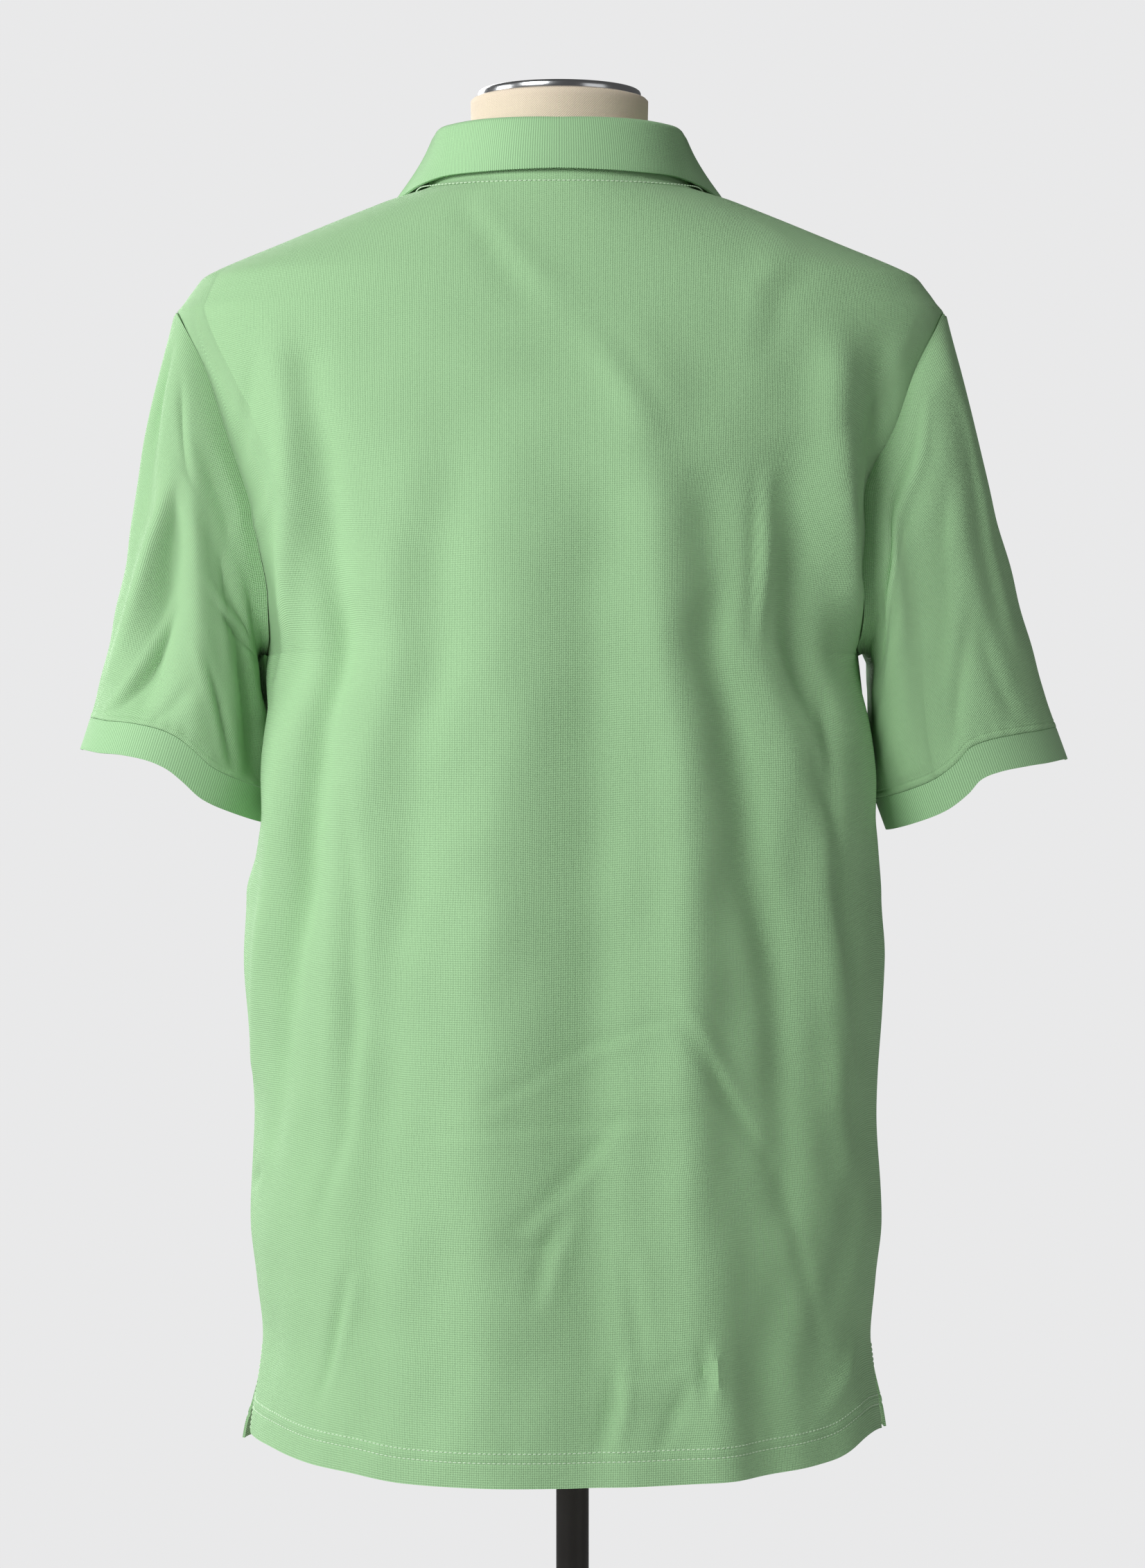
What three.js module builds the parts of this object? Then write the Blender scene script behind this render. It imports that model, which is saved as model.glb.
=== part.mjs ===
// A short-sleeved pique polo shirt on a limbless dress form, in millimetres.
// +Z is up, +X is the wearer's left, the front faces -Y, and the origin is on
// the floor under the middle of the base.
import * as THREE from 'three';
import { mergeVertices } from 'three/addons/utils/BufferGeometryUtils.js';

// Cloth
const CLOTH = 1.5;             // wall of the pique panels
const RIB = 2.0;               // wall of the rib-knit collar and cuffs
const SEAM = 0.3;              // gap between two pieces at a seam
const SQUARE = 2.2;            // superellipse power of the body's rings

// Heights
const UNDERARM_Z = 1215;
const SHOULDER_TIP_Z = 1427;
const NECK_POINT_Z = 1500;
const NECK_BACK_Z = 1509;
const NECK_FRONT_Z = 1405;
const NECK_HALF_WIDTH = 82;
const VENT_HEIGHT = 45;
const VENT_SPREAD = 3;         // half the width of an open vent at the hem

// How far each lower corner at the vents stands out (+) or is drawn in (-)
const VENT_OUT = { back: { left: 0, right: -5 }, front: { left: 5, right: 2 } };

// Hem: its height at the middle, and how it rises to either side, on the back
// (left, right) and on the front
const HEM = { backZ: 729, frontZ: 737 };
const HEM_RISE = [
  { side: 0, left: 0, right: 0, frontLeft: 0, frontRight: 0 },
  { side: 0.3, left: 0.8, right: 2.6, frontLeft: 0.2, frontRight: 0.6 },
  { side: 0.43, left: 4.5, right: 4.7, frontLeft: 0.5, frontRight: 1.2 },
  { side: 0.55, left: 7, right: 7, frontLeft: 0.6, frontRight: 2 },
  { side: 0.61, left: 8.5, right: 9, frontLeft: 0.4, frontRight: 2.5 },
  { side: 0.73, left: 12, right: 16.5, frontLeft: -0.4, frontRight: 4 },
  { side: 0.82, left: 13, right: 18.5, frontLeft: -1.2, frontRight: 4.8 },
  { side: 1, left: 14, right: 14, frontLeft: -2, frontRight: 5 },
];

// The shirt leans a little towards +X, more at the neck than at the hem
const LEAN = { low: 3, high: 8, lowZ: 729, highZ: 1507 };

// Level rings of the shirt, half width and depths from the middle
const SHIRT_RINGS = [
  { z: 716, w: 197, back: 151, front: 158 },
  { z: 762, w: 191, back: 150, front: 157 },
  { z: 801, w: 186, back: 149, front: 155 },
  { z: 836, w: 189.5, back: 149, front: 153 },
  { z: 870, w: 193, back: 148, front: 152 },
  { z: 938, w: 190.5, back: 147, front: 149 },
  { z: 1028, w: 196, back: 146, front: 145 },
  { z: 1074, w: 194.5, back: 145, front: 142 },
  { z: 1110, w: 198, back: 144, front: 140 },
  { z: 1165, w: 196, back: 143, front: 138 },
  { z: 1215, w: 181, back: 141, front: 136 },
  { z: 1250, w: 190, back: 138, front: 134 },
  { z: 1300, w: 204, back: 132, front: 130 },
  { z: 1350, w: 221, back: 121, front: 123 },
  { z: 1400, w: 234, back: 105, front: 108 },
  { z: 1424, w: 235.5, back: 99, front: 100 },
  { z: 1431, w: 230.5, back: 97, front: 97 },
  { z: 1440, w: 224, back: 94, front: 93 },
  { z: 1448, w: 216, back: 91, front: 89 },
  { z: 1465, w: 176, back: 86, front: 79 },
  { z: 1491, w: 110.5, back: 80, front: 62 },
  { z: 1500, w: 82, back: 78, front: 57 },
  { z: 1507, w: 79, back: 77, front: 55 },
  { z: 1525, w: 77, back: 75, front: 52 },
  { z: 1560, w: 75, back: 72, front: 50 },
];

// Folds that show from a step away: each is a soft ridge (+) or trough (-)
// along a path of [turn from the middle in degrees, height]
const BACK_FOLDS = [
  { depth: -7, width: 15, path: [[40, 1392], [44, 1282], [53, 1207], [55, 1137], [59, 1030], [71, 947]] },
  { depth: 4, width: 11, path: [[42, 1412], [48, 1326], [63, 1240]] },
  { depth: -5, width: 15, path: [[22, 1329], [27, 1217], [30, 1111], [36, 1005]] },
  { depth: 4, width: 19, path: [[13, 1323], [20, 1111], [27, 926], [31, 800]] },
  { depth: -5, width: 17, path: [[3, 1290], [0, 1137], [0, 1059], [4, 901], [8, 790]] },
  { depth: 5, width: 20, path: [[-9, 1312], [-10, 1164], [-8, 1059], [-10, 927], [-10, 822]] },
  { depth: -8, width: 15, path: [[-15, 1334], [-23, 1217], [-25, 1111], [-30, 1005], [-36, 915]] },
  { depth: 5, width: 14, path: [[-31, 1286], [-37, 1191], [-41, 1111], [-46, 1031], [-54, 930]] },
  { depth: 5, width: 11, path: [[-40, 1408], [-47, 1298], [-60, 1208], [-66, 1154], [-69, 1080]] },
  { depth: -6, width: 13, path: [[-46, 1386], [-55, 1299], [-59, 1225], [-70, 1130]] },
  { depth: 3, width: 22, path: [[-29, 930], [-29, 741]] },
];
const FRONT_FOLDS = [
  { depth: -6, width: 16, path: [[48, 1370], [52, 1270], [56, 1150], [60, 1020]] },
  { depth: 4, width: 14, path: [[38, 1330], [42, 1200], [45, 1060], [50, 940]] },
  { depth: -5, width: 17, path: [[24, 1200], [28, 1080], [31, 960], [34, 850]] },
  { depth: 4, width: 20, path: [[13, 1180], [15, 1060], [16, 900], [17, 790]] },
  { depth: -4, width: 18, path: [[2, 1150], [0, 1020], [-3, 900], [-5, 800]] },
  { depth: 4, width: 19, path: [[-12, 1200], [-15, 1060], [-18, 920], [-20, 810]] },
  { depth: -7, width: 15, path: [[-26, 1230], [-29, 1110], [-33, 990], [-38, 880]] },
  { depth: 5, width: 14, path: [[-40, 1340], [-43, 1210], [-46, 1080], [-52, 950]] },
  { depth: -6, width: 15, path: [[-50, 1380], [-54, 1280], [-60, 1170], [-66, 1060]] },
];
const MM_PER_DEGREE = 2.8;     // mean girth of one degree of turn
const FOLD_END = 0.35;         // share of a fold's depth that is left at its ends
const FOLD_FADE = { sideDegrees: 12, topZ: 1425, topSpan: 40 };

// Each side is pressed in below the underarm, where the sleeve hangs
const SIDE_DENT = { lowZ: 1070, lowFullZ: 1120, highFullZ: 1163, highZ: 1212 };
const LEFT_DENT = { depth: 25, width: 16.5 };
const RIGHT_DENT = { depth: 10.5, width: 14 };

// Armhole: how far the edge is cut in, in degrees of turn
const ARMHOLE = { backBite: 26, frontBite: 29, power: 2.6 };

// Grid of the panels
const PANEL = {
  halfColumns: 12, lowRows: 15, highRows: 14, neckShare: 0.5, slitShare: 0.0333, crowding: 0.6,
  flareShare: 0.9,
};

// Placket
const PLACKET = { halfWidth: 16, underHalfWidth: 15, slitRow: 3, columns: 4, lift: 0.5, under: 2.1 };
const BUTTON = {
  diameter: 11.5, height: 2.6, rim: 1.2, well: 0.9, foot: 0.86, bevel: 0.5, sides: 18, drops: [22, 72, 122],
};

// Sleeves and cuffs: middle of the cuff's lower edge, its tilt and half axes
const UNDERARM_EASE = 1.3;     // more room at the underarm, where two seams meet
const TIP_EASE = 0.3;          // and at the shoulder tip
const SIDE_EASE = 0.1;         // and half-way between them
const CUFF = { height: 20, halfAcross: 58, halfDeep: 64, rows: 2 };
const SLEEVE_ROWS = 10;

// How a sleeve leaves the armhole, at its top and at the underarm, and how
// long it keeps to the cuff's direction
const LEAVE = {
  topOut: 0.2, topDown: 0.98, lowOut: 0.75, lowUp: 0.42, deep: 0.4, topPull: 0.4, lowPull: 1.1,
};

// The folds pull the cuff up (+) or down (-); around is 0 at its outer end
const CUFF_WAVE = [
  { around: 0, left: 3.6, right: -1 },
  { around: 40, left: 6, right: 2 },
  { around: 60, left: 9.6, right: 5 },
  { around: 78, left: 11.5, right: 7.5 },
  { around: 90, left: 10.3, right: 7 },
  { around: 100, left: 6.5, right: 1.5 },
  { around: 115, left: -0.2, right: -3.4 },
  { around: 135, left: -2.6, right: -4.7 },
  { around: 180, left: -3.8, right: -4 },
];
const CUFF_FRONT_RISE = 1.2;   // the front half is pulled up a little more
const SLEEVES = [
  { side: 'left', sign: 1, x: 246, y: 2, z: 1136, tilt: 18.4 },
  { side: 'right', sign: -1, x: -247, y: 2, z: 1133, tilt: 19.7 },
];
const SLEEVE_FOLDS = [
  { depth: -6, width: 22, around: 62, from: 0.12, to: 0.75, drift: -34 },
  { depth: 5, width: 18, around: 96, from: 0.05, to: 0.95, drift: -10 },
  { depth: -7, width: 18, around: 128, from: 0.1, to: 0.9, drift: -8 },
  { depth: -5, width: 20, around: 236, from: 0.1, to: 0.85, drift: 12 },
  { depth: 4, width: 18, around: 270, from: 0.05, to: 0.9, drift: 24 },
];

// Collar, from the centre front round to the centre back: how high the fold
// stands, and where the edge of the fall lies
const COLLAR_STATIONS = [
  { share: 0.0, fold: 30, inset: 9, edgeTurn: 9, edgeZ: 1375, edgeLift: 7, bulge: 2.5 },
  { share: 0.12, fold: 30, inset: 7, edgeTurn: 13.5, edgeZ: 1392, edgeLift: 6, bulge: 2.5 },
  { share: 0.3, fold: 31, inset: 5, edgeTurn: 27.6, edgeZ: 1458, edgeLift: 5, bulge: 2 },
  { share: 0.42, fold: 33, inset: 7, edgeTurn: 52, edgeZ: 1486, edgeLift: 4, bulge: 0 },
  { share: 0.5, fold: 34, inset: 8, edgeTurn: 84, edgeZ: 1495, edgeLift: 3.4, bulge: -1.5 },
  { share: 0.6, fold: 31.5, inset: 7, edgeTurn: 112, edgeZ: 1499, edgeLift: 3.6, bulge: -1 },
  { share: 0.7, fold: 28.5, inset: 6, edgeTurn: 130, edgeZ: 1501, edgeLift: 3.8, bulge: 0 },
  { share: 0.85, fold: 26, inset: 4.5, edgeTurn: 152, edgeZ: 1502.5, edgeLift: 3.6, bulge: 0.8 },
  { share: 1.0, fold: 24.5, inset: 3.5, edgeTurn: 180, edgeZ: 1503.5, edgeLift: 3.6, bulge: 1 },
];
const COLLAR = {
  stand: 3, bend: 4, bendAngle: 165, fall: 5, bendRadius: 2.6, axisY: -8, seamLift: 0.1, seamTilt: 0.6,
  step: 0.02,
};

// Where the collar's points lie on the chest: up to which share of the collar
// and which height, and how high the fall stands off there
const COLLAR_LAY = { share: 0.4, span: 0.15, topZ: 1490, topSpan: 15, chestZ: 1488, lift: 8.5 };

// Dress form
const FORM_RINGS = [
  { z: 802, w: 150, back: 98, front: 84, n: 2.2 },
  { z: 815, w: 163, back: 110, front: 95, n: 2.2 },
  { z: 900, w: 168, back: 118, front: 101, n: 2.2 },
  { z: 1000, w: 154, back: 112, front: 96, n: 2.2 },
  { z: 1090, w: 148, back: 108, front: 98, n: 2.2 },
  { z: 1215, w: 160, back: 118, front: 114, n: 2.2 },
  { z: 1300, w: 176, back: 113, front: 115, n: 2.2 },
  { z: 1350, w: 189, back: 104, front: 108, n: 2.2 },
  { z: 1390, w: 204, back: 94, front: 99, n: 2.2 },
  { z: 1415, w: 217, back: 88, front: 93, n: 2.2 },
  { z: 1430, w: 221, back: 87, front: 89, n: 2.2 },
];
const FORM_SHOULDER = {
  fromZ: 1437, toZ: 1494, step: 8, drop: 3.4, backInset: 6, frontInset: 13, edgeZ: 1450, edgeInset: 4,
};
const NECK_RINGS = [
  { z: 1500, w: 74, back: 66, front: 55.5, n: 2.1 },
  { z: 1508, w: 63.5, back: 60, front: 55, n: 2 },
  { z: 1520, w: 57, back: 56, front: 54.5, n: 2 },
  { z: 1535, w: 54.5, back: 54.5, front: 54.5, n: 2 },
  { z: 1556.7, w: 54.5, back: 54.5, front: 54.5, n: 2 },
];
const FORM_SIDES = 36;
const CAP = {
  radius: 50, rim: 5, z: 1557, foot: 1, bevel: 1.5, brim: 5, brimRise: 0.4, crown: 1.2, sides: 48,
};
const POLE = { radius: 10, topZ: 801.7, sides: 24 };
const BASE = {
  radius: 180, height: 11, foot: 1, bevel: 3, hub: 24, hubHeight: 30, flange: 6, flangeRise: 1.5,
  neckRise: 4, taper: 4, hubBevel: 2, sides: 60,
};

const FINISHES = {
  cloth: { color: 0xa9c9a0, roughness: 0.9 },
  rib: { color: 0xa2c399, roughness: 0.9 },
  button: { color: 0xc4d3b8, roughness: 0.4 },
  linen: { color: 0xb9a98c, roughness: 0.9 },
  chrome: { color: 0xc9cbce, roughness: 0.15, metalness: 1 },
  dark: { color: 0x2b2523, roughness: 0.5, metalness: 0.5 },
};
const WELD = 1e-4;             // points nearer than this are one
const NARROW = 1e-6;           // slack for comparing shares
const HALVINGS = 30;           // steps of the search for the shoulder's height

const DEG = Math.PI / 180;
const lerp = (a, b, t) => a + (b - a) * t;
const ease = (t) => THREE.MathUtils.smoothstep(t, 0, 1);
const clamp01 = (t) => Math.min(1, Math.max(0, t));
const power = (v, p) => Math.sign(v) * Math.abs(v) ** p;

// Smooth value of one column of a table at a height or share
function along(table, key, at, column) {
  const last = table.length - 1;
  if (at <= table[0][key]) return table[0][column];
  if (at >= table[last][key]) return table[last][column];
  const i = table.findIndex((row) => row[key] > at) - 1;
  const slope = (k) => {
    const a = table[Math.max(0, k - 1)];
    const b = table[Math.min(last, k + 1)];
    return (b[column] - a[column]) / (b[key] - a[key]);
  };
  const span = table[i + 1][key] - table[i][key];
  const t = (at - table[i][key]) / span;
  const rise = table[i + 1][column] - table[i][column];
  const low = slope(i) * span;
  const high = slope(i + 1) * span;
  return table[i][column] + t * low + t * t * (3 * rise - 2 * low - high)
    + t * t * t * (low + high - 2 * rise);
}

const lean = (z) => lerp(LEAN.low, LEAN.high, clamp01((z - LEAN.lowZ) / (LEAN.highZ - LEAN.lowZ)));

// A point of a ring; turn is 0 at the back, 90 at +X and 180 at the front
function ringPoint(rings, turn, z, n) {
  const w = along(rings, 'z', z, 'w');
  const depth = along(rings, 'z', z, Math.cos(turn * DEG) >= 0 ? 'back' : 'front');
  const x = w * power(Math.sin(turn * DEG), 2 / n);
  return new THREE.Vector3(x, depth * power(Math.cos(turn * DEG), 2 / n), z);
}

// The turn at which a ring reaches a given half width
function turnAt(x, z) {
  return Math.asin(clamp01(x / along(SHIRT_RINGS, 'z', z, 'w')) ** (SQUARE / 2)) / DEG;
}

// Outward direction of the plain shirt surface
function shirtNormal(turn, z) {
  const at = (moreTurn, moreZ) => ringPoint(SHIRT_RINGS, turn + moreTurn, z + moreZ, SQUARE);
  const step = 0.6;
  const around = at(step, 0).sub(at(-step, 0));
  return at(0, 1).sub(at(0, -1)).cross(around).normalize();
}

// Height of the folds at a place given by girth and height
function foldHeight(folds, girth, z) {
  let sum = 0;
  for (const { depth, width, path } of folds) {
    let nearest = Infinity;
    let place = 0;
    for (let i = 0; i + 1 < path.length; i += 1) {
      const [a0, z0] = [path[i][0] * MM_PER_DEGREE, path[i][1]];
      const [da, dz] = [path[i + 1][0] * MM_PER_DEGREE - a0, path[i + 1][1] - z0];
      const t = clamp01(((girth - a0) * da + (z - z0) * dz) / (da * da + dz * dz));
      const d = Math.hypot(girth - a0 - t * da, z - z0 - t * dz);
      if (d < nearest) {
        nearest = d;
        place = (i + t) / (path.length - 1);
      }
    }
    const full = lerp(FOLD_END, 1, Math.sin(Math.PI * place));
    sum += depth * full * Math.exp(-((nearest / width) ** 2));
  }
  return sum;
}

// A point of the outer face of the shirt's body; turn as for ringPoint
function shirtPoint(turn, z, lift = 0) {
  const point = ringPoint(SHIRT_RINGS, turn, z, SQUARE);
  const normal = shirtNormal(turn, z);
  const back = Math.cos(turn * DEG) >= 0;
  const signed = back ? turn : Math.sign(turn) * (180 - Math.abs(turn));
  const folds = foldHeight(back ? BACK_FOLDS : FRONT_FOLDS, signed * MM_PER_DEGREE, z);
  const nearSeam = clamp01((90 - Math.abs(signed)) / FOLD_FADE.sideDegrees);
  const nearTop = clamp01((FOLD_FADE.topZ - z) / FOLD_FADE.topSpan);
  const { lowZ, lowFullZ, highFullZ, highZ } = SIDE_DENT;
  const inDent = ease((z - lowZ) / (lowFullZ - lowZ)) * ease((highZ - z) / (highZ - highFullZ));
  const { depth, width } = signed > 0 ? LEFT_DENT : RIGHT_DENT;
  const dent = depth * inDent * Math.exp(-(((90 - Math.abs(signed)) / width) ** 2));
  return point.addScaledVector(normal, folds * nearSeam * nearTop - dent + lift);
}

// The edge of the armhole; step runs from 0 at the underarm to 1 at the tip
function armholeEdge(step, bite) {
  const angle = step * 180 * DEG;
  const middle = (UNDERARM_Z + SHOULDER_TIP_Z) / 2;
  const half = (SHOULDER_TIP_Z - UNDERARM_Z) / 2;
  return {
    turn: 90 - bite * Math.abs(Math.sin(angle)) ** (2 / ARMHOLE.power),
    z: middle - half * power(Math.cos(angle), 2 / ARMHOLE.power),
  };
}

// The neckline from the middle (0) to the neck point (1), turn from the middle
function neckline(share, isBack) {
  if (isBack) return { turn: 90 * share, z: lerp(NECK_BACK_Z, NECK_POINT_Z, share * share) };
  const angle = 90 * (1 - (1 - share) ** 2) * DEG;
  const z = NECK_POINT_Z - (NECK_POINT_Z - NECK_FRONT_Z) * Math.cos(angle);
  return { turn: turnAt(NECK_HALF_WIDTH * Math.sin(angle), z), z };
}

// The top of a panel from the middle (0) to the shoulder tip (1)
function panelTop(share, isBack) {
  if (share <= PANEL.neckShare) return neckline(share / PANEL.neckShare, isBack);
  const out = (share - PANEL.neckShare) / (1 - PANEL.neckShare);
  const width = lerp(NECK_HALF_WIDTH, along(SHIRT_RINGS, 'z', SHOULDER_TIP_Z, 'w'), out);
  let [low, high] = [SHOULDER_TIP_Z, NECK_POINT_Z];
  for (let i = 0; i < HALVINGS; i += 1) {
    const z = (low + high) / 2;
    if (along(SHIRT_RINGS, 'z', z, 'w') > width) low = z;
    else high = z;
  }
  return { turn: 90, z: (low + high) / 2 };
}

// The hem's height
function hemZ(turn, isBack) {
  const column = isBack ? ['right', 'left'] : ['frontRight', 'frontLeft'];
  const rise = along(HEM_RISE, 'side', Math.abs(turn) / 90, column[Number(turn > 0)]);
  return (isBack ? HEM.backZ : HEM.frontZ) + rise;
}

// Rows above the underarm stand closer together towards the shoulder
function highShare(row) {
  const even = row / PANEL.highRows;
  return lerp(even, 1 - (1 - even) ** 2, PANEL.crowding);
}

// Place in (turn, z) of a point of a panel; share -1..1, row from the hem up
function panelPlace(share, row, isBack) {
  const u = Math.abs(share);
  const sign = Math.sign(share) || 1;
  if (row <= PANEL.lowRows) {
    const hem = hemZ(share * 90, isBack);
    return { turn: 90 * share, z: lerp(hem, UNDERARM_Z, row / PANEL.lowRows) };
  }
  const s = highShare(row - PANEL.lowRows);
  const bite = isBack ? ARMHOLE.backBite : ARMHOLE.frontBite;
  const right = armholeEdge(s, bite);
  const top = panelTop(u, isBack);
  const middleTop = isBack ? NECK_BACK_Z : NECK_FRONT_Z;
  const turn = (1 - s) * 90 * u + s * top.turn + u * right.turn - u * 90;
  const z = s * top.z + (1 - u) * lerp(UNDERARM_Z, middleTop, s) + u * right.z
    - (1 - u) * s * middleTop - u * s * SHOULDER_TIP_Z;
  return { turn: sign * turn, z };
}

// Shares of the columns of a panel; the front has two beside the placket
function panelShares(isBack) {
  const shares = [];
  const n = PANEL.halfColumns;
  for (let i = -n; i <= n; i += 1) {
    if (!isBack && i === 0) shares.push(-PANEL.slitShare, 0, PANEL.slitShare);
    else shares.push(i / n);
  }
  return shares;
}

// A point of a panel's outer face; the front's slit columns keep their width
function panelPoint(share, row, isBack, lift = 0) {
  const place = panelPlace(share, row, isBack);
  let { turn } = place;
  if (!isBack && Math.abs(share) === PANEL.slitShare) {
    turn = Math.sign(share) * turnAt(PLACKET.halfWidth + 1.5 * SEAM, place.z);
  }
  if (row < PANEL.lowRows && Math.abs(share) === 1) {
    const open = clamp01(1 - (place.z - hemZ(90 * share, isBack)) / VENT_HEIGHT);
    turn -= Math.sign(share) * (VENT_SPREAD * open) / MM_PER_DEGREE;
  }
  const point = shirtPoint(isBack ? turn : 180 - turn, place.z, lift);
  point.y += isBack ? SEAM / 2 : -SEAM / 2;
  if (row < PANEL.lowRows) {
    const open = clamp01(1 - (place.z - hemZ(90 * share, isBack)) / VENT_HEIGHT);
    const out = VENT_OUT[isBack ? 'back' : 'front'][share > 0 ? 'left' : 'right'];
    const nearSide = ease((Math.abs(share) - PANEL.flareShare) / (1 - PANEL.flareShare));
    point.x += Math.sign(share) * out * ease(open) * nearSide;
  }
  return point;
}

// Outward directions of a grid of points
function gridNormals(grid, closed) {
  const [rows, columns] = [grid.length, grid[0].length];
  return grid.map((line, i) => line.map((point, j) => {
    const left = closed ? line[(j + columns - 1) % columns] : line[Math.max(0, j - 1)];
    const right = closed ? line[(j + 1) % columns] : line[Math.min(columns - 1, j + 1)];
    const up = grid[Math.min(rows - 1, i + 1)][j].clone().sub(grid[Math.max(0, i - 1)][j]);
    return right.clone().sub(left).cross(up).normalize();
  }));
}

// A closed wall from two grids, outer and inner; cells may be left out
function wall(outer, inner, { closed = false, has = () => true } = {}) {
  const [rows, columns] = [outer.length, outer[0].length];
  const spans = closed ? columns : columns - 1;
  const filled = (i, j) => {
    if (i < 0 || i >= rows - 1) return false;
    if (!closed && (j < 0 || j >= spans)) return false;
    return has(i, (j + columns) % columns);
  };
  const points = [];
  const quad = (a, b, c, d) => points.push(a, b, c, a, c, d);
  for (let i = 0; i < rows - 1; i += 1) {
    for (let j = 0; j < spans; j += 1) {
      if (!filled(i, j)) continue;
      const k = (j + 1) % columns;
      quad(outer[i][j], outer[i][k], outer[i + 1][k], outer[i + 1][j]);
      quad(inner[i][k], inner[i][j], inner[i + 1][j], inner[i + 1][k]);
      if (!filled(i - 1, j)) quad(inner[i][j], inner[i][k], outer[i][k], outer[i][j]);
      if (!filled(i + 1, j)) quad(outer[i + 1][j], outer[i + 1][k], inner[i + 1][k], inner[i + 1][j]);
      if (!filled(i, j - 1)) quad(outer[i][j], outer[i + 1][j], inner[i + 1][j], inner[i][j]);
      if (!filled(i, j + 1)) quad(inner[i][k], inner[i + 1][k], outer[i + 1][k], outer[i][k]);
    }
  }
  return points;
}

// Geometry from a triangle list; the lean is added here
function solid(points, leaning = true) {
  const places = new Float32Array(points.length * 3);
  points.forEach((p, i) => places.set([p.x + (leaning ? lean(p.z) : 0), p.y, p.z], i * 3));
  const geometry = new THREE.BufferGeometry();
  geometry.setAttribute('position', new THREE.BufferAttribute(places, 3));
  return mergeVertices(geometry, WELD);
}

function piece(name, geometry, finish) {
  const material = new THREE.MeshStandardMaterial(finish);
  const mesh = new THREE.Mesh(geometry, material);
  mesh.name = name;
  return mesh;
}

// A grid moved along its outward directions
function offset(grid, normals, by) {
  return grid.map((line, i) => line.map((p, j) => p.clone().addScaledVector(normals[i][j], by)));
}

// Front and back panels, with the normals that the sleeves take over
function panelGrid(isBack) {
  const rows = PANEL.lowRows + PANEL.highRows;
  const shares = panelShares(isBack);
  const sign = isBack ? -1 : 1;
  const outer = [];
  for (let row = 0; row <= rows; row += 1) {
    outer.push(shares.map((share) => panelPoint(sign * share, row, isBack)));
  }
  const normals = gridNormals(outer, false);
  const neck = PANEL.neckShare - NARROW;
  normals.forEach((line, row) => line.forEach((normal, j) => {
    const side = Math.abs(shares[j]);
    const onSeam = (side === 1 && (row <= PANEL.lowRows || row === rows)) || (row === rows && side > neck);
    if (onSeam) normal.setY(0).normalize();
  }));
  return { outer, normals, inner: offset(outer, normals, -CLOTH), shares };
}

const backGrid = panelGrid(true);
const frontGrid = panelGrid(false);

function backPanel() {
  return solid(wall(backGrid.outer, backGrid.inner));
}

function frontPanel() {
  const { shares } = frontGrid;
  const inSlit = (j) => Math.abs(shares[j] + shares[j + 1]) < 2 * PANEL.slitShare;
  const has = (i, j) => i < PANEL.lowRows + PLACKET.slitRow || !inSlit(j);
  return solid(wall(frontGrid.outer, frontGrid.inner, { has }));
}

// A placket strip follows the front; lift is its distance from the panel
function placketStrip(halfWidth, lift) {
  const outer = [];
  for (let row = PANEL.lowRows + PLACKET.slitRow; row <= PANEL.lowRows + PANEL.highRows; row += 1) {
    const { z } = panelPlace(0, row, false);
    const up = row === PANEL.lowRows + PLACKET.slitRow ? z + 2 * SEAM : z;
    const line = [];
    for (let i = 0; i <= PLACKET.columns; i += 1) {
      const x = lerp(-halfWidth, halfWidth, i / PLACKET.columns);
      const point = shirtPoint(180 - Math.sign(x) * turnAt(Math.abs(x), up), up, lift);
      point.y -= SEAM / 2;
      line.push(point);
    }
    outer.push(line);
  }
  const normals = gridNormals(outer, false);
  return solid(wall(outer, offset(outer, normals, -CLOTH)));
}

// A four-hole button: a dished disc with a raised rim
function button(drop) {
  const z = NECK_FRONT_Z - drop;
  const { halfWidth } = PLACKET;
  const seat = shirtPoint(180, z, PLACKET.lift + SEAM);
  const edge = shirtPoint(180 - turnAt(halfWidth / 3, z), z, PLACKET.lift + SEAM);
  const r = BUTTON.diameter / 2;
  const { height, rim, well, foot, bevel } = BUTTON;
  const profile = [
    [0, 0], [r * foot, 0], [r, bevel], [r, height - bevel], [r - bevel, height],
    [r - rim, height], [r - rim - bevel, height - well], [0, height - well],
  ].map(([x, y]) => new THREE.Vector2(x, y));
  const geometry = new THREE.LatheGeometry(profile, BUTTON.sides);
  geometry.deleteAttribute('uv');
  geometry.deleteAttribute('normal');
  const clean = mergeVertices(geometry, WELD);
  const normal = shirtNormal(180, z);
  clean.applyQuaternion(new THREE.Quaternion().setFromUnitVectors(new THREE.Vector3(0, 1, 0), normal));
  const place = seat.y < edge.y ? seat : edge;
  clean.translate(lean(z), place.y - SEAM, z);
  return clean;
}

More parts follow.
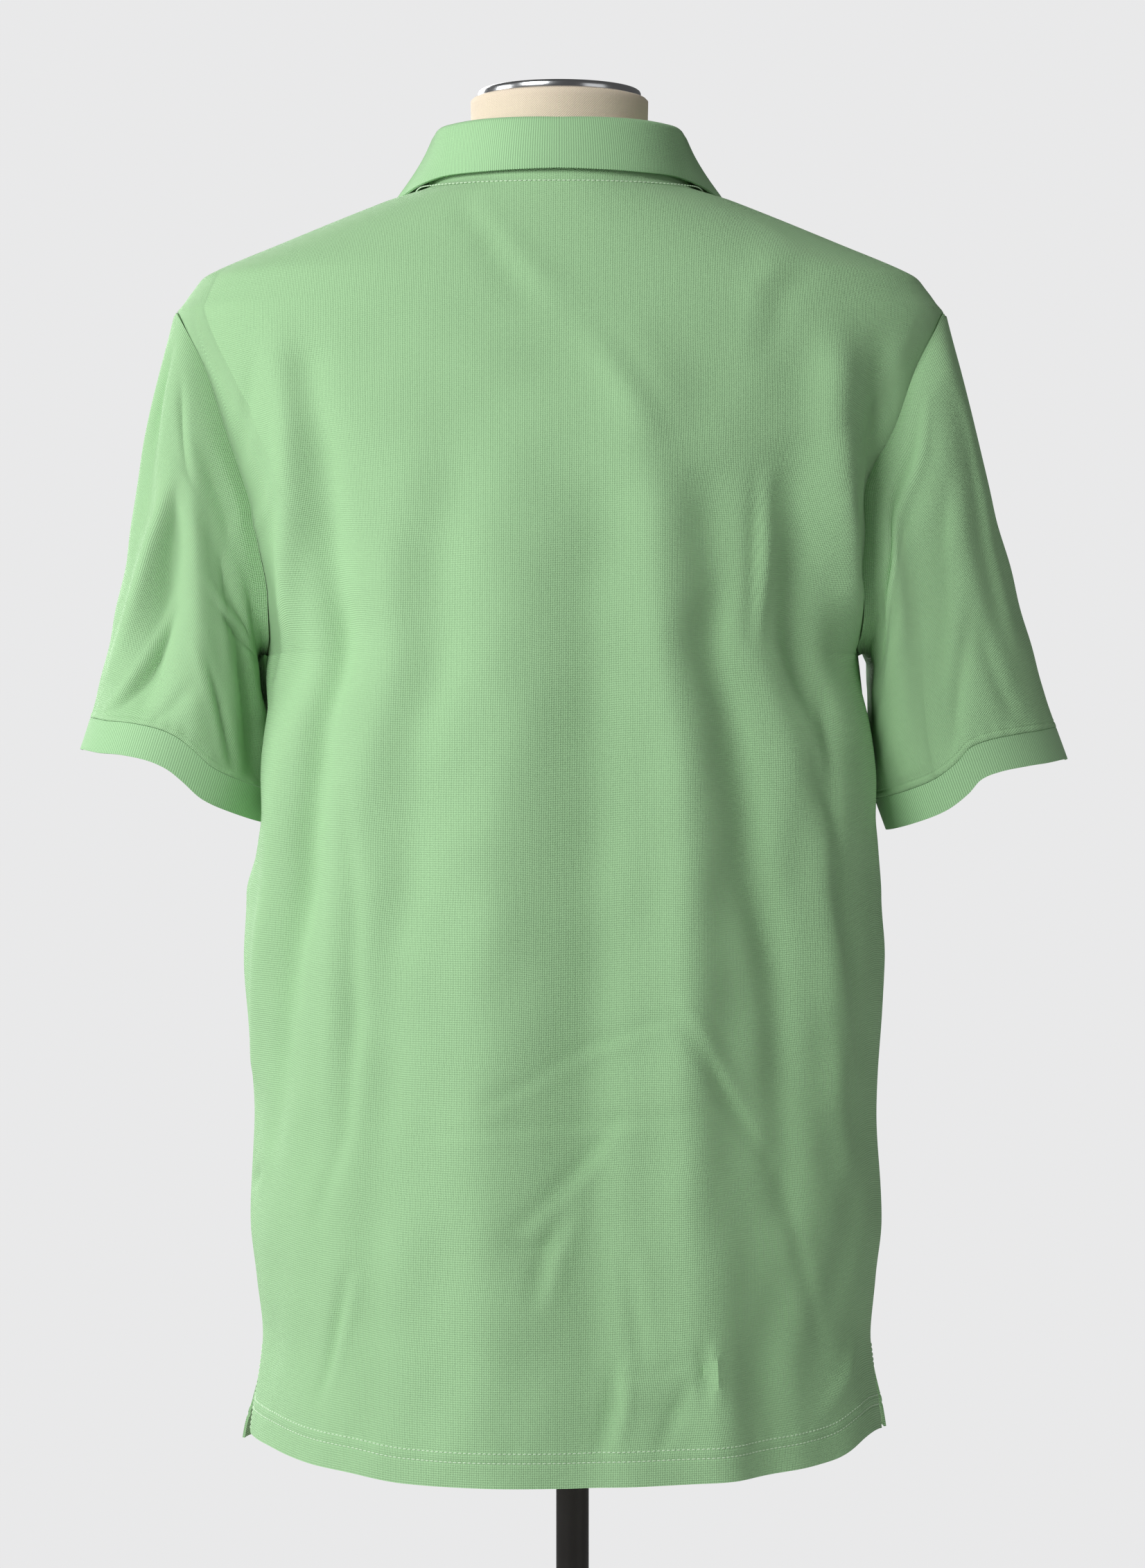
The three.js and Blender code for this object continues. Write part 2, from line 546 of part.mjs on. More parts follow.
// The loop of an armhole: outer points and normals from the tip by the back
// and the underarm to the front, moved off the panels by the seam gap
function armholeLoop(sign) {
  const rows = PANEL.lowRows + PANEL.highRows;
  const loop = [];
  const take = (grid, row, isBack) => {
    const last = grid.shares.length - 1;
    const j = (sign > 0) === isBack ? 0 : last;
    loop.push({ point: grid.outer[row][j].clone(), normal: grid.normals[row][j].clone() });
  };
  for (let row = rows; row >= PANEL.lowRows; row -= 1) take(backGrid, row, true);
  for (let row = PANEL.lowRows + 1; row < rows; row += 1) take(frontGrid, row, false);
  for (const [k, shift] of [[0, rows], [PANEL.highRows, PANEL.lowRows]]) {
    const j = sign > 0 ? frontGrid.shares.length - 1 : 0;
    loop[k].point.add(frontGrid.outer[shift][j]).multiplyScalar(0.5);
  }
  const count = loop.length;
  const middle = new THREE.Vector3();
  loop.forEach((item) => middle.addScaledVector(item.point, 1 / count));
  loop.forEach((item, i) => {
    const next = loop[(i + 1) % count].point;
    const before = loop[(i + count - 1) % count].point;
    item.away = next.clone().sub(before).cross(item.normal).normalize();
    if (item.away.dot(middle.clone().sub(item.point)) < 0) item.away.negate();
  });
  loop.forEach((item, i) => {
    const height = Math.cos((2 * Math.PI * i) / count);
    const end = height > 0 ? TIP_EASE : UNDERARM_EASE;
    item.point.addScaledVector(item.away, SEAM + lerp(SIDE_EASE, end, Math.abs(height)));
  });
  return loop;
}

// How far the cuff is pulled up at a place around it
function cuffWave(sleeve, around) {
  const front = around > 180;
  const wave = along(CUFF_WAVE, 'around', front ? 360 - around : around, sleeve.side);
  return wave + (front ? CUFF_FRONT_RISE * Math.abs(Math.sin(around * DEG)) : 0);
}

// A point of the cuff; drop is measured along the cuff from its seam
function cuffPoint(sleeve, around, drop) {
  const tilt = sleeve.tilt * DEG;
  const across = new THREE.Vector3(sleeve.sign * Math.cos(tilt), 0, Math.sin(tilt));
  const down = new THREE.Vector3(sleeve.sign * Math.sin(tilt), 0, -Math.cos(tilt));
  return new THREE.Vector3(sleeve.x - lean(sleeve.z), sleeve.y, sleeve.z)
    .addScaledVector(across, CUFF.halfAcross * Math.cos(around * DEG))
    .addScaledVector(down, drop - CUFF.height - cuffWave(sleeve, around))
    .add(new THREE.Vector3(0, CUFF.halfDeep * Math.sin(around * DEG), 0));
}

// A sleeve: curves from the armhole loop to the cuff seam
function sleeveGrid(sleeve) {
  const loop = armholeLoop(sleeve.sign);
  const grid = [];
  for (let row = 0; row <= SLEEVE_ROWS; row += 1) {
    const t = row / SLEEVE_ROWS;
    grid.push(loop.map((start, i) => {
      const around = (i / loop.length) * 360;
      const end = cuffPoint(sleeve, around, -SEAM);
      const next = cuffPoint(sleeve, around, 1).sub(cuffPoint(sleeve, around, 0));
      const length = start.point.distanceTo(end);
      const upper = (1 + Math.cos(around * DEG)) / 2;
      const out = sleeve.sign * lerp(LEAVE.lowOut, LEAVE.topOut, upper);
      const rise = lerp(LEAVE.lowUp, -LEAVE.topDown, upper);
      const leave = new THREE.Vector3(out, LEAVE.deep * Math.sin(around * DEG), rise);
      const pull = lerp(LEAVE.lowPull, LEAVE.topPull, upper);
      const a = 2 * t ** 3 - 3 * t * t + 1;
      const b = t ** 3 - 2 * t * t + t;
      const c = t ** 3 - t * t;
      const point = start.point.clone().multiplyScalar(a).addScaledVector(leave, b * length)
        .addScaledVector(end, 1 - a).addScaledVector(next, c * length * pull);
      let height = 0;
      for (const fold of SLEEVE_FOLDS) {
        const inFold = clamp01((t - fold.from) / (fold.to - fold.from));
        const off = around - fold.around - fold.drift * (inFold - 0.5);
        height += fold.depth * Math.sin(Math.PI * inFold) * Math.exp(-((off / fold.width) ** 2));
      }
      const outward = new THREE.Vector3(sleeve.sign * Math.cos(around * DEG), Math.sin(around * DEG), 0);
      return point.addScaledVector(outward, height);
    }));
  }
  const normals = gridNormals(grid, true);
  normals.forEach((line) => line.forEach((normal) => normal.multiplyScalar(sleeve.sign)));
  loop.forEach((item, i) => {
    const leaving = grid[1][i].clone().sub(grid[0][i]).normalize();
    if (leaving.dot(item.normal) < 0.1) normals[0][i].copy(item.normal);
  });
  return { grid, normals };
}

function tube(grid, normals, thickness, sign) {
  const inner = offset(grid, normals, -thickness);
  const outward = sign < 0;
  return solid(outward ? wall(inner, grid, { closed: true }) : wall(grid, inner, { closed: true }));
}

function sleeveTube(sleeve) {
  const { grid, normals } = sleeveGrid(sleeve);
  return tube(grid, normals, CLOTH, sleeve.sign);
}

function cuffTube(sleeve) {
  const count = 2 * PANEL.highRows;
  const grid = [];
  for (let row = 0; row <= CUFF.rows; row += 1) {
    const drop = (CUFF.height * row) / CUFF.rows;
    grid.push(Array.from({ length: count }, (_, i) => cuffPoint(sleeve, (i / count) * 360, drop)));
  }
  const normals = gridNormals(grid, true);
  normals.forEach((line) => line.forEach((normal) => normal.multiplyScalar(sleeve.sign)));
  return tube(grid, normals, RIB, sleeve.sign);
}

// The neckline loop from the centre front (0) to the centre back (1)
function necklinePoint(share) {
  const place = share > 0.5 ? neckline((1 - share) * 2, true) : neckline(share * 2, false);
  const turn = share > 0.5 ? place.turn : 180 - place.turn;
  return { point: ringPoint(SHIRT_RINGS, turn, place.z, SQUARE), normal: shirtNormal(turn, place.z) };
}

// One section of the collar, from the neck seam over the fold to its edge
function collarSection(share, sign) {
  const value = (column) => along(COLLAR_STATIONS, 'share', share, column);
  const { point, normal } = necklinePoint(share);
  const next = necklinePoint(Math.min(1, share + COLLAR.step)).point;
  const before = necklinePoint(Math.max(0, share - COLLAR.step)).point;
  const away = next.sub(before).cross(normal).normalize();
  if (away.z < 0) away.negate();
  const outward = new THREE.Vector3(point.x, point.y - COLLAR.axisY, 0).normalize();
  const sideways = Math.hypot(away.x, away.y);
  const seam = point.addScaledVector(normal, -CLOTH / 2)
    .addScaledVector(away, SEAM + RIB * COLLAR.seamTilt * sideways + COLLAR.seamLift);
  const top = seam.clone().addScaledVector(outward, -value('inset'));
  const radius = COLLAR.bendRadius;
  top.z += value('fold') - radius;
  const line = [];
  for (let i = 0; i <= COLLAR.stand; i += 1) line.push(seam.clone().lerp(top, i / COLLAR.stand));
  for (let i = 1; i <= COLLAR.bend; i += 1) {
    const angle = (i / COLLAR.bend) * COLLAR.bendAngle * DEG;
    const bent = top.clone().addScaledVector(outward, radius * (1 - Math.cos(angle)));
    bent.z += radius * Math.sin(angle);
    line.push(bent);
  }
  const bend = line[line.length - 1];
  const edgeTurn = 180 - value('edgeTurn');
  const edge = ringPoint(SHIRT_RINGS, edgeTurn, value('edgeZ'), SQUARE)
    .addScaledVector(shirtNormal(edgeTurn, value('edgeZ')), value('edgeLift'));
  const { lift, chestZ, share: layShare, span, topZ, topSpan } = COLLAR_LAY;
  for (let i = 1; i <= COLLAR.fall; i += 1) {
    const t = i / COLLAR.fall;
    const swell = value('bulge') * Math.sin(Math.PI * t);
    const chord = bend.clone().lerp(edge, t).addScaledVector(outward, swell);
    const z = Math.min(chord.z, chestZ);
    const chestTurn = 180 - turnAt(Math.abs(chord.x), z);
    const onChest = ringPoint(SHIRT_RINGS, chestTurn, z, SQUARE)
      .addScaledVector(shirtNormal(chestTurn, z), lerp(lift, value('edgeLift'), t));
    const lay = clamp01((layShare - share) / span) * clamp01((topZ - chord.z) / topSpan);
    line.push(chord.clone().lerp(onChest, lay));
  }
  line.forEach((p) => { p.x *= sign; });
  return line;
}

function collar() {
  const shares = panelShares(false).filter((u) => u >= 0 && u <= PANEL.neckShare);
  const front = shares.map((u) => u / PANEL.neckShare / 2);
  const back = shares.filter((u) => u !== PANEL.slitShare).map((u) => 1 - u / PANEL.neckShare / 2);
  const half = [...front, ...back.reverse().slice(1)];
  const grid = [];
  const addSection = (share, sign) => {
    const line = collarSection(share, sign);
    line.forEach((p) => {
      if (share === 0) p.x += sign * SEAM;
      if (share === 1) p.x = 0;
    });
    grid.push(line);
  };
  half.forEach((share) => addSection(share, -1));
  half.slice(0, -1).reverse().forEach((share) => addSection(share, 1));
  const normals = gridNormals(grid, false);
  return solid(wall(offset(grid, normals, RIB / 2), offset(grid, normals, -RIB / 2)));
}

// The dress form's body and neck, closed at both ends
function formTorso() {
  const rings = [...FORM_RINGS];
  for (let z = FORM_SHOULDER.fromZ; z <= FORM_SHOULDER.toZ; z += FORM_SHOULDER.step) {
    const up = z + FORM_SHOULDER.drop;
    rings.push({
      z,
      w: along(SHIRT_RINGS, 'z', up, 'w') - (z < FORM_SHOULDER.edgeZ ? FORM_SHOULDER.edgeInset : 0),
      back: along(SHIRT_RINGS, 'z', up, 'back') - FORM_SHOULDER.backInset,
      front: along(SHIRT_RINGS, 'z', up, 'front') - FORM_SHOULDER.frontInset,
      n: SQUARE,
    });
  }
  rings.push(...NECK_RINGS);
  const grid = rings.map((ring) => Array.from({ length: FORM_SIDES }, (_, i) => {
    const turn = (i / FORM_SIDES) * 360;
    const depth = Math.cos(turn * DEG) >= 0 ? ring.back : ring.front;
    return new THREE.Vector3(
      ring.w * power(Math.sin(turn * DEG), 2 / ring.n),
      depth * power(Math.cos(turn * DEG), 2 / ring.n),
      ring.z,
    );
  }));
  const points = [];
  const count = FORM_SIDES;
  for (let i = 0; i + 1 < grid.length; i += 1) {
    for (let j = 0; j < count; j += 1) {
      const k = (j + 1) % count;
      points.push(grid[i][k], grid[i][j], grid[i + 1][j], grid[i][k], grid[i + 1][j], grid[i + 1][k]);
    }
  }
  const low = new THREE.Vector3(0, 0, grid[0][0].z);
  const high = new THREE.Vector3(0, 0, grid[grid.length - 1][0].z);
  for (let j = 0; j < count; j += 1) {
    const k = (j + 1) % count;
    points.push(low, grid[0][j], grid[0][k], high, grid[grid.length - 1][k], grid[grid.length - 1][j]);
  }
  return solid(points);
}

// A turned solid on a vertical axis
function turned(profile, sides, x = 0, z = 0) {
  const geometry = new THREE.LatheGeometry(profile.map(([r, h]) => new THREE.Vector2(r, h)), sides);
  geometry.deleteAttribute('uv');
  geometry.deleteAttribute('normal');
  const clean = mergeVertices(geometry, WELD);
  clean.rotateX(Math.PI / 2);
  clean.translate(x, 0, z);
  return clean;
}

function neckCap() {
  const { radius, rim, foot, bevel, brim, brimRise, crown } = CAP;
  const profile = [
    [0, 0], [radius - foot, 0], [radius, foot], [radius, rim - bevel], [radius - bevel, rim],
    [radius - brim, rim + brimRise], [0, rim + crown],
  ];
  return turned(profile, CAP.sides, lean(CAP.z), CAP.z);
}

function pole() {
  const foot = BASE.height + BASE.hubHeight + SEAM;
  const length = POLE.topZ - foot;
  return turned([[0, 0], [POLE.radius, 0], [POLE.radius, length], [0, length]], POLE.sides, 0, foot);
}

function base() {
  const { radius, height, foot, bevel, hub, flange, flangeRise, neckRise, taper, hubBevel } = BASE;
  const top = height + BASE.hubHeight;
  return turned([
    [0, 0], [radius - foot, 0], [radius, foot], [radius, height - bevel], [radius - bevel, height],
    [hub + flange, height + flangeRise], [hub, height + neckRise], [hub - taper, top - hubBevel],
    [hub - taper - hubBevel, top], [0, top],
  ], BASE.sides);
}

const shirt = new THREE.Group();
shirt.add(
  piece('back', backPanel(), FINISHES.cloth),
  piece('front', frontPanel(), FINISHES.cloth),
  piece('collar', collar(), FINISHES.rib),
  piece('placket_over', placketStrip(PLACKET.halfWidth, PLACKET.lift), FINISHES.cloth),
  piece('placket_under', placketStrip(PLACKET.underHalfWidth, PLACKET.lift - PLACKET.under), FINISHES.cloth),
);
for (const sleeve of SLEEVES) {
  shirt.add(piece(`sleeve_${sleeve.side}`, sleeveTube(sleeve), FINISHES.cloth));
  shirt.add(piece(`cuff_${sleeve.side}`, cuffTube(sleeve), FINISHES.rib));
}
BUTTON.drops.forEach((drop, i) => shirt.add(piece(`button_${i + 1}`, button(drop), FINISHES.button)));

const stand = new THREE.Group();
stand.add(
  piece('form_torso', formTorso(), FINISHES.linen),
  piece('neck_cap', neckCap(), FINISHES.chrome),
  piece('pole', pole(), FINISHES.dark),
  piece('base', base(), FINISHES.dark),
);

const group = new THREE.Group();
group.add(shirt, stand);

export default group;
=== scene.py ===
"""A short-sleeved pique polo shirt on a limbless dress form, seen from behind.

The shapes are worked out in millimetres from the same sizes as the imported
solids, and every mesh is made in metres in the frame's own axes: +Z up, +X to
the wearer's left, the front of the shirt faces -Y.
"""

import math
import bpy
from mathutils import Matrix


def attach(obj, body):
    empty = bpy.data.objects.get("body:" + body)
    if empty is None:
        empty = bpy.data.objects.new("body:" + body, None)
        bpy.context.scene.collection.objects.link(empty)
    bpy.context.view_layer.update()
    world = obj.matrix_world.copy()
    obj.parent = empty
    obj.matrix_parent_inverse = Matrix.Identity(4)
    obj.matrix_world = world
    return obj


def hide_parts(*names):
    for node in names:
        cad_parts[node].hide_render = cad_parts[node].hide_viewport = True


bl_info = {
    "name": "Polo shirt on a dress form",
    "version": (1, 0, 0),
    "blender": (4, 5, 0),
    "location": "View3D > Sidebar > Polo Shirt",
    "description": "Builds the sewn pieces, knit ribs, stitches and stand of a polo shirt on a dress form",
    "category": "Add Mesh",
}

import bpy
import numpy as np
from mathutils import Vector

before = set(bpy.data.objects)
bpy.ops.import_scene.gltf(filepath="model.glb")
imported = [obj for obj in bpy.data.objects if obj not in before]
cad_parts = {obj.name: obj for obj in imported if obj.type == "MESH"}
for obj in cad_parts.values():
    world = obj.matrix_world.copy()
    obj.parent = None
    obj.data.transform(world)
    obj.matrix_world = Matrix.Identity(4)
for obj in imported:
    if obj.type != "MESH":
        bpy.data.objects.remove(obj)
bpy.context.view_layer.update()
MM = 0.001

# Cloth
CLOTH = 1.5
RIB = 2.0
SEAM = 0.3
SQUARE = 2.2

# Heights
UNDERARM_Z = 1215.0
SHOULDER_TIP_Z = 1427.0
NECK_POINT_Z = 1500.0
NECK_BACK_Z = 1509.0
NECK_FRONT_Z = 1405.0
NECK_HALF_WIDTH = 82.0
VENT_HEIGHT = 45.0
VENT_SPREAD = 3.0
# How far each lower corner at the vents stands out (+) or is drawn in (-)
VENT_OUT = {"back": {"left": 0.0, "right": -5.0}, "front": {"left": 5.0, "right": 2.0}}

LEAN = {"low": 3.0, "high": 8.0, "low_z": 729.0, "high_z": 1507.0}


def table(columns, *rows):
    """A table as one array for each named column."""
    return {name: np.array([row[i] for row in rows], float) for i, name in enumerate(columns)}


SHIRT_RINGS = table(
    ("z", "w", "back", "front"),
    (716, 197, 151, 158),
    (762, 191, 150, 157),
    (801, 186, 149, 155),
    (836, 189.5, 149, 153),
    (870, 193, 148, 152),
    (938, 190.5, 147, 149),
    (1028, 196, 146, 145),
    (1074, 194.5, 145, 142),
    (1110, 198, 144, 140),
    (1165, 196, 143, 138),
    (1215, 181, 141, 136),
    (1250, 190, 138, 134),
    (1300, 204, 132, 130),
    (1350, 221, 121, 123),
    (1400, 234, 105, 108),
    (1424, 235.5, 99, 100),
    (1431, 230.5, 97, 97),
    (1440, 224, 94, 93),
    (1448, 216, 91, 89),
    (1465, 176, 86, 79),
    (1491, 110.5, 80, 62),
    (1500, 82, 78, 57),
    (1507, 79, 77, 55),
    (1525, 77, 75, 52),
    (1560, 75, 72, 50),
)

HEM = {"back": 729.0, "front": 737.0}
# How the hem rises to either side, on the back (left, right) and on the front
HEM_RISE = table(
    ("side", "left", "right", "front_left", "front_right"),
    (0, 0, 0, 0, 0),
    (0.3, 0.8, 2.6, 0.2, 0.6),
    (0.43, 4.5, 4.7, 0.5, 1.2),
    (0.55, 7, 7, 0.6, 2),
    (0.61, 8.5, 9, 0.4, 2.5),
    (0.73, 12, 16.5, -0.4, 4),
    (0.82, 13, 18.5, -1.2, 4.8),
    (1, 14, 14, -2, 5),
)

# Folds as (depth, width, path of (turn from the middle in degrees, height)):
# ridges stand out (+), troughs lie in (-)
BACK_FOLDS = (
    (-10, 13, ((39, 1385), (41, 1300), (45, 1220), (46, 1150), (50, 1080), (57, 1000), (66, 930))),
    (7, 11, ((43, 1412), (45, 1350), (50, 1300), (58, 1250), (66, 1200))),
    (6, 13, ((58, 1150), (62, 1090), (67, 1030), (75, 970))),
    (-3.6, 14, ((15, 1350), (19, 1270), (22, 1200), (25, 1100), (30, 1000), (34, 890), (36, 760))),
    (2, 12, ((28, 1310), (31, 1220), (34, 1140), (36, 1080))),
    (5.5, 21, ((7, 1300), (9, 1150), (11, 1020), (13, 900), (12, 790), (11, 680))),
    (-7, 13, ((-4, 1300), (-4, 1180), (-4, 1050), (-3, 930), (-4, 810), (-3, 690))),
    (10, 16, ((-8, 1400), (-14, 1300), (-18, 1200), (-19.5, 1100), (-20, 1000), (-20, 900), (-23, 800), (-27, 700))),
    (3.5, 12, ((-27, 900), (-27, 800), (-27, 700))),
    (-9, 13, ((-22, 1310), (-27, 1250), (-29, 1170), (-32, 1100), (-37, 1040), (-40, 970), (-41, 890))),
    (-3, 14, ((-38, 860), (-37, 790), (-37, 700))),
    (2, 9, ((-36, 1230), (-40, 1170), (-40, 1120))),
    (-10, 13, ((-37, 1330), (-44, 1270), (-49.5, 1215), (-52, 1170))),
    (13, 13, ((-41, 1425), (-45, 1350), (-52, 1300), (-60, 1258), (-72, 1225))),
    (5, 12, ((-43, 1150), (-48, 1090), (-51, 1030), (-55, 970), (-60, 910))),
    (-9, 11, ((-54, 1400), (-58, 1350), (-66, 1305), (-74, 1275))),
    (-2.5, 20, ((-62, 900), (-58, 850), (-50, 780), (-46, 720))),
)
FRONT_FOLDS = (
    (-8, 15, ((48, 1370), (52, 1270), (56, 1150), (60, 1020))),
    (5.5, 14, ((38, 1330), (42, 1200), (45, 1060), (50, 940))),
    (-6.5, 16, ((24, 1200), (28, 1080), (31, 960), (34, 850))),
    (5.5, 20, ((13, 1180), (15, 1060), (16, 900), (17, 790))),
    (-5.5, 16, ((2, 1150), (0, 1020), (-3, 900), (-5, 800))),
    (6, 18, ((-12, 1200), (-15, 1060), (-18, 920), (-20, 810))),
    (-9, 14, ((-26, 1230), (-29, 1110), (-33, 990), (-38, 880))),
    (6.5, 14, ((-40, 1340), (-43, 1210), (-46, 1080), (-52, 950))),
    (-7.5, 14, ((-50, 1380), (-54, 1280), (-60, 1170), (-66, 1060))),
)
# Creases and narrow folds that only the fine cloth shows
BACK_CREASES = (
    (-2.6, 6, ((38, 1130), (37, 1060), (37.5, 1000), (41, 930), (48, 880))),
    (1.6, 7, ((43, 1080), (43, 1000), (47, 930))),
    (-3.2, 5, ((40, 850), (44.5, 815), (49, 776))),
    (1.8, 4, ((38.5, 846), (43, 812), (47, 776))),
    (-2.8, 4, ((-31, 1322), (-33, 1280), (-35.5, 1222))),
    (2.0, 4, ((-33.5, 1318), (-35.5, 1278), (-37.5, 1225))),
    (-2.4, 5, ((50, 1392), (56, 1355), (62, 1335))),
    (1.8, 5, ((50, 1322), (58, 1300), (67, 1290))),
    (-2.2, 6, ((26, 1488), (12, 1466), (7, 1448), (3.5, 1421))),
    (2.0, 6, ((20, 1486), (9, 1462), (3, 1440), (0, 1424))),
    (1.8, 6, ((-2.8, 1410), (-7.6, 1377), (-12, 1345))),
    (-2.0, 6, ((-5, 1408), (-10, 1375), (-15, 1343))),
    (1.8, 7, ((-26, 1395), (-28, 1430), (-35, 1450), (-50, 1468))),
    (-1.6, 7, ((-30, 1392), (-32, 1426), (-40, 1444))),
    (2.6, 4, ((-18, 1009), (-24.5, 978), (-35.5, 926))),
    (-3.4, 5, ((-18, 1000), (-26, 962), (-37, 917))),
    (-1.2, 3.5, ((12, 951), (5, 963), (-3, 984), (-17, 1003))),
    (0.8, 3.5, ((10, 946), (-3, 978), (-17, 998))),
    (-0.8, 3.5, ((25, 931), (5, 938), (-15, 943), (-28, 949))),
    (0.5, 3.5, ((22, 927), (0, 932), (-20, 941))),
    (-2.2, 3.5, ((7, 879), (2, 897), (-2, 915), (-8, 944))),
    (1.5, 3.5, ((4, 874), (-1, 897), (-6, 925))),
    (-3.0, 3.5, ((4.5, 836), (3, 862), (0, 894))),
    (2.2, 3.2, ((2, 838), (0.8, 862), (-2, 892))),
    (-1.6, 3.5, ((9, 872), (5, 868), (1, 871))),
    (-2.0, 4, ((-9, 862), (-10.5, 830), (-12, 800))),
    (-3.0, 3.2, ((-7, 800), (-6.5, 775), (-4.5, 750))),
    (2.0, 3.2, ((-9.2, 800), (-8.8, 775), (-7, 752))),
    (-3.0, 3, ((-22.4, 812), (-22.8, 795), (-22.6, 778))),
    (2.2, 3, ((-24.4, 812), (-24.8, 795), (-24.6, 778))),
    (-2.2, 3.5, ((-20, 790), (-17, 770), (-14, 748))),
    (-0.8, 3.5, ((-9, 772), (-17, 774), (-25, 770))),
    (-0.8, 3.5, ((-8, 793), (-15, 796), (-20, 803))),
    (1.8, 7, ((-49, 1120), (-52, 1060), (-57, 1000), (-66, 940))),
    (-2.0, 6, ((-47, 1150), (-52, 1120), (-56, 1070))),
    (-2.4, 5, ((-55, 1190), (-52, 1165), (-52, 1120))),
    (2.2, 6, ((-52, 765), (-61, 783), (-68, 802))),
    (-1.6, 6, ((-40, 900), (-44, 860), (-54, 800))),
    (-2.4, 4, ((72, 905), (78, 898), (84, 893))),
)
FRONT_CREASES = (
    (-2.2, 7, ((36, 1060), (39, 980), (45, 905))),
    (-1.8, 6, ((-34, 1300), (-38, 1220), (-40, 1140))),
    (-2.0, 7, ((20, 1000), (27, 960), (38, 925))),
    (-1.6, 6, ((-8, 960), (6, 985), (20, 1000))),
    (-1.4, 6, ((-24, 930), (0, 936), (22, 944))),
    (-1.5, 6, ((-8, 880), (0, 905), (9, 940))),
    (-1.6, 5, ((8, 812), (6, 768))),
    (-1.4, 8, ((-24, 1380), (-30, 1330), (-34, 1290))),
    (-1.4, 8, ((24, 1370), (30, 1320), (33, 1280))),
    (1.5, 9, ((55, 900), (58, 830), (62, 770))),
)
MM_PER_DEGREE = 2.8

SIDE_DENT = {"low": 1070.0, "low_full": 1120.0, "high_full": 1163.0, "high": 1212.0}
LEFT_DENT = {"depth": 25.0, "width": 16.5}
RIGHT_DENT = {"depth": 10.5, "width": 14.0}
ARMHOLE = {"back": 26.0, "front": 29.0, "power": 2.6}
UNDERARM_EASE = 1.7
TIP_EASE = 0.3
SIDE_EASE = 0.35
PANEL = {"half_columns": 12, "high_rows": 14, "neck_share": 0.5, "slit_share": 0.0333, "slit_row": 3}
FINE = {"half": 80, "slit": 4, "low": 128, "high": 100, "hem_step": 0.8}
# Rows of stitches as distances from the hem and from the cuff's seam, and the sewn cloth's relief
HEM_STITCHES = (14.6, 20.1)
CUFF_STITCHES = (4.0,)
NECK_ROW = {"back": 12.6, "side": 8.5, "front": 6.0}
SEWN = {"doubled": 0.4, "dip": 0.5, "dip_width": 0.9, "pucker": 0.22}

PLACKET = {"half_width": 16.0, "lift": 0.5, "under": 2.1}
BUTTON = {"diameter": 11.5, "height": 2.6, "drops": (22, 72, 122)}

CUFF = {"height": 20.0, "across": 58.0, "deep": 64.0, "front_rise": 1.2}
# How far the folds pull each cuff up; around is 0 at its outer end
CUFF_WAVE = table(
    ("around", "left", "right"),
    (0, 3.6, -1),
    (40, 6, 2),
    (60, 9.6, 5),
    (78, 11.5, 7.5),
    (90, 10.3, 7),
    (100, 6.5, 1.5),
    (115, -0.2, -3.4),
    (135, -2.6, -4.7),
    (180, -3.8, -4),
)
LEAVE = {
    "top_out": 0.2, "top_down": 0.98, "low_out": 0.75, "low_up": 0.42, "deep": 0.4,
    "top_pull": 0.4, "low_pull": 1.1,
}
SLEEVES = {
    "left": {"sign": 1, "x": 246.0, "y": 2.0, "z": 1136.0, "tilt": 18.4},
    "right": {"sign": -1, "x": -247.0, "y": 2.0, "z": 1133.0, "tilt": 19.7},
}
# Sleeve folds as (depth, width, around, from, to, drift): around is 0 at the outer end and
# 90 at the back, from and to are shares of the length, and the fold drifts from one to the other
SLEEVE_FOLDS = {
    "left": (
        (7, 9, 58, 0.32, 0.86, -60),
        (-10, 13, 72, 0.34, 1.12, -44),
        (5, 12, 102, 0.2, 1.08, -8),
        (-9, 11, 142, 0.32, 1.06, 10),
        (3, 8, 35, 0.06, 0.62, 2),
        (-5, 9, 53, 0.06, 0.52, 8),
        (-3, 9, 122, 0.08, 0.55, 6),
        (-5, 20, 236, 0.1, 0.85, 12),
        (4, 18, 270, 0.05, 0.9, 24),
    ),
    "right": (
        (-5, 18, 62, 0.12, 0.8, -30),
        (5, 15, 130, 0.0, 1.08, 6),
        (-5, 14, 102, 0.03, 1.0, -6),
        (1.5, 14, 150, 0.45, 1.0, 0),
        (-5, 20, 236, 0.1, 0.85, 12),
        (4, 18, 270, 0.05, 0.9, 24),
    ),
}
SLEEVE_CREASES = {
    "left": (
        (2.4, 5, 60, 0.6, 0.98, -56),
        (-2.4, 5, 68, 0.6, 0.98, -56),
        (-2.0, 5, 88, 0.1, 0.34, 24),
        (2.4, 5, 128, 0.36, 0.56, -40),
        (-2.4, 5, 136, 0.36, 0.56, -40),
        (-2.4, 5, 118, 0.7, 1.02, 30),
        (1.8, 5, 111, 0.7, 1.02, 30),
        (-2.0, 5, 84, 0.78, 1.04, -34),
        (-1.6, 7, 46, 0.02, 0.4, -16),
        (-1.5, 8, 214, 0.5, 1.0, -16),
        (-1.6, 8, 290, 0.3, 0.85, 30),
        (-1.4, 8, 330, 0.1, 0.6, 18),
    ),
    "right": (
        (-3.0, 6, 128, 0.06, 0.46, 62),
        (2.0, 6, 120, 0.08, 0.44, 58),
        (-1.8, 6, 88, 0.6, 1.0, 26),
        (-1.8, 6, 64, 0.66, 1.0, -20),
        (1.5, 7, 48, 0.2, 0.8, -14),
        (-1.5, 8, 214, 0.5, 1.0, -16),
        (-1.6, 8, 290, 0.3, 0.85, 30),
        (-1.4, 8, 330, 0.1, 0.6, 18),
    ),
}
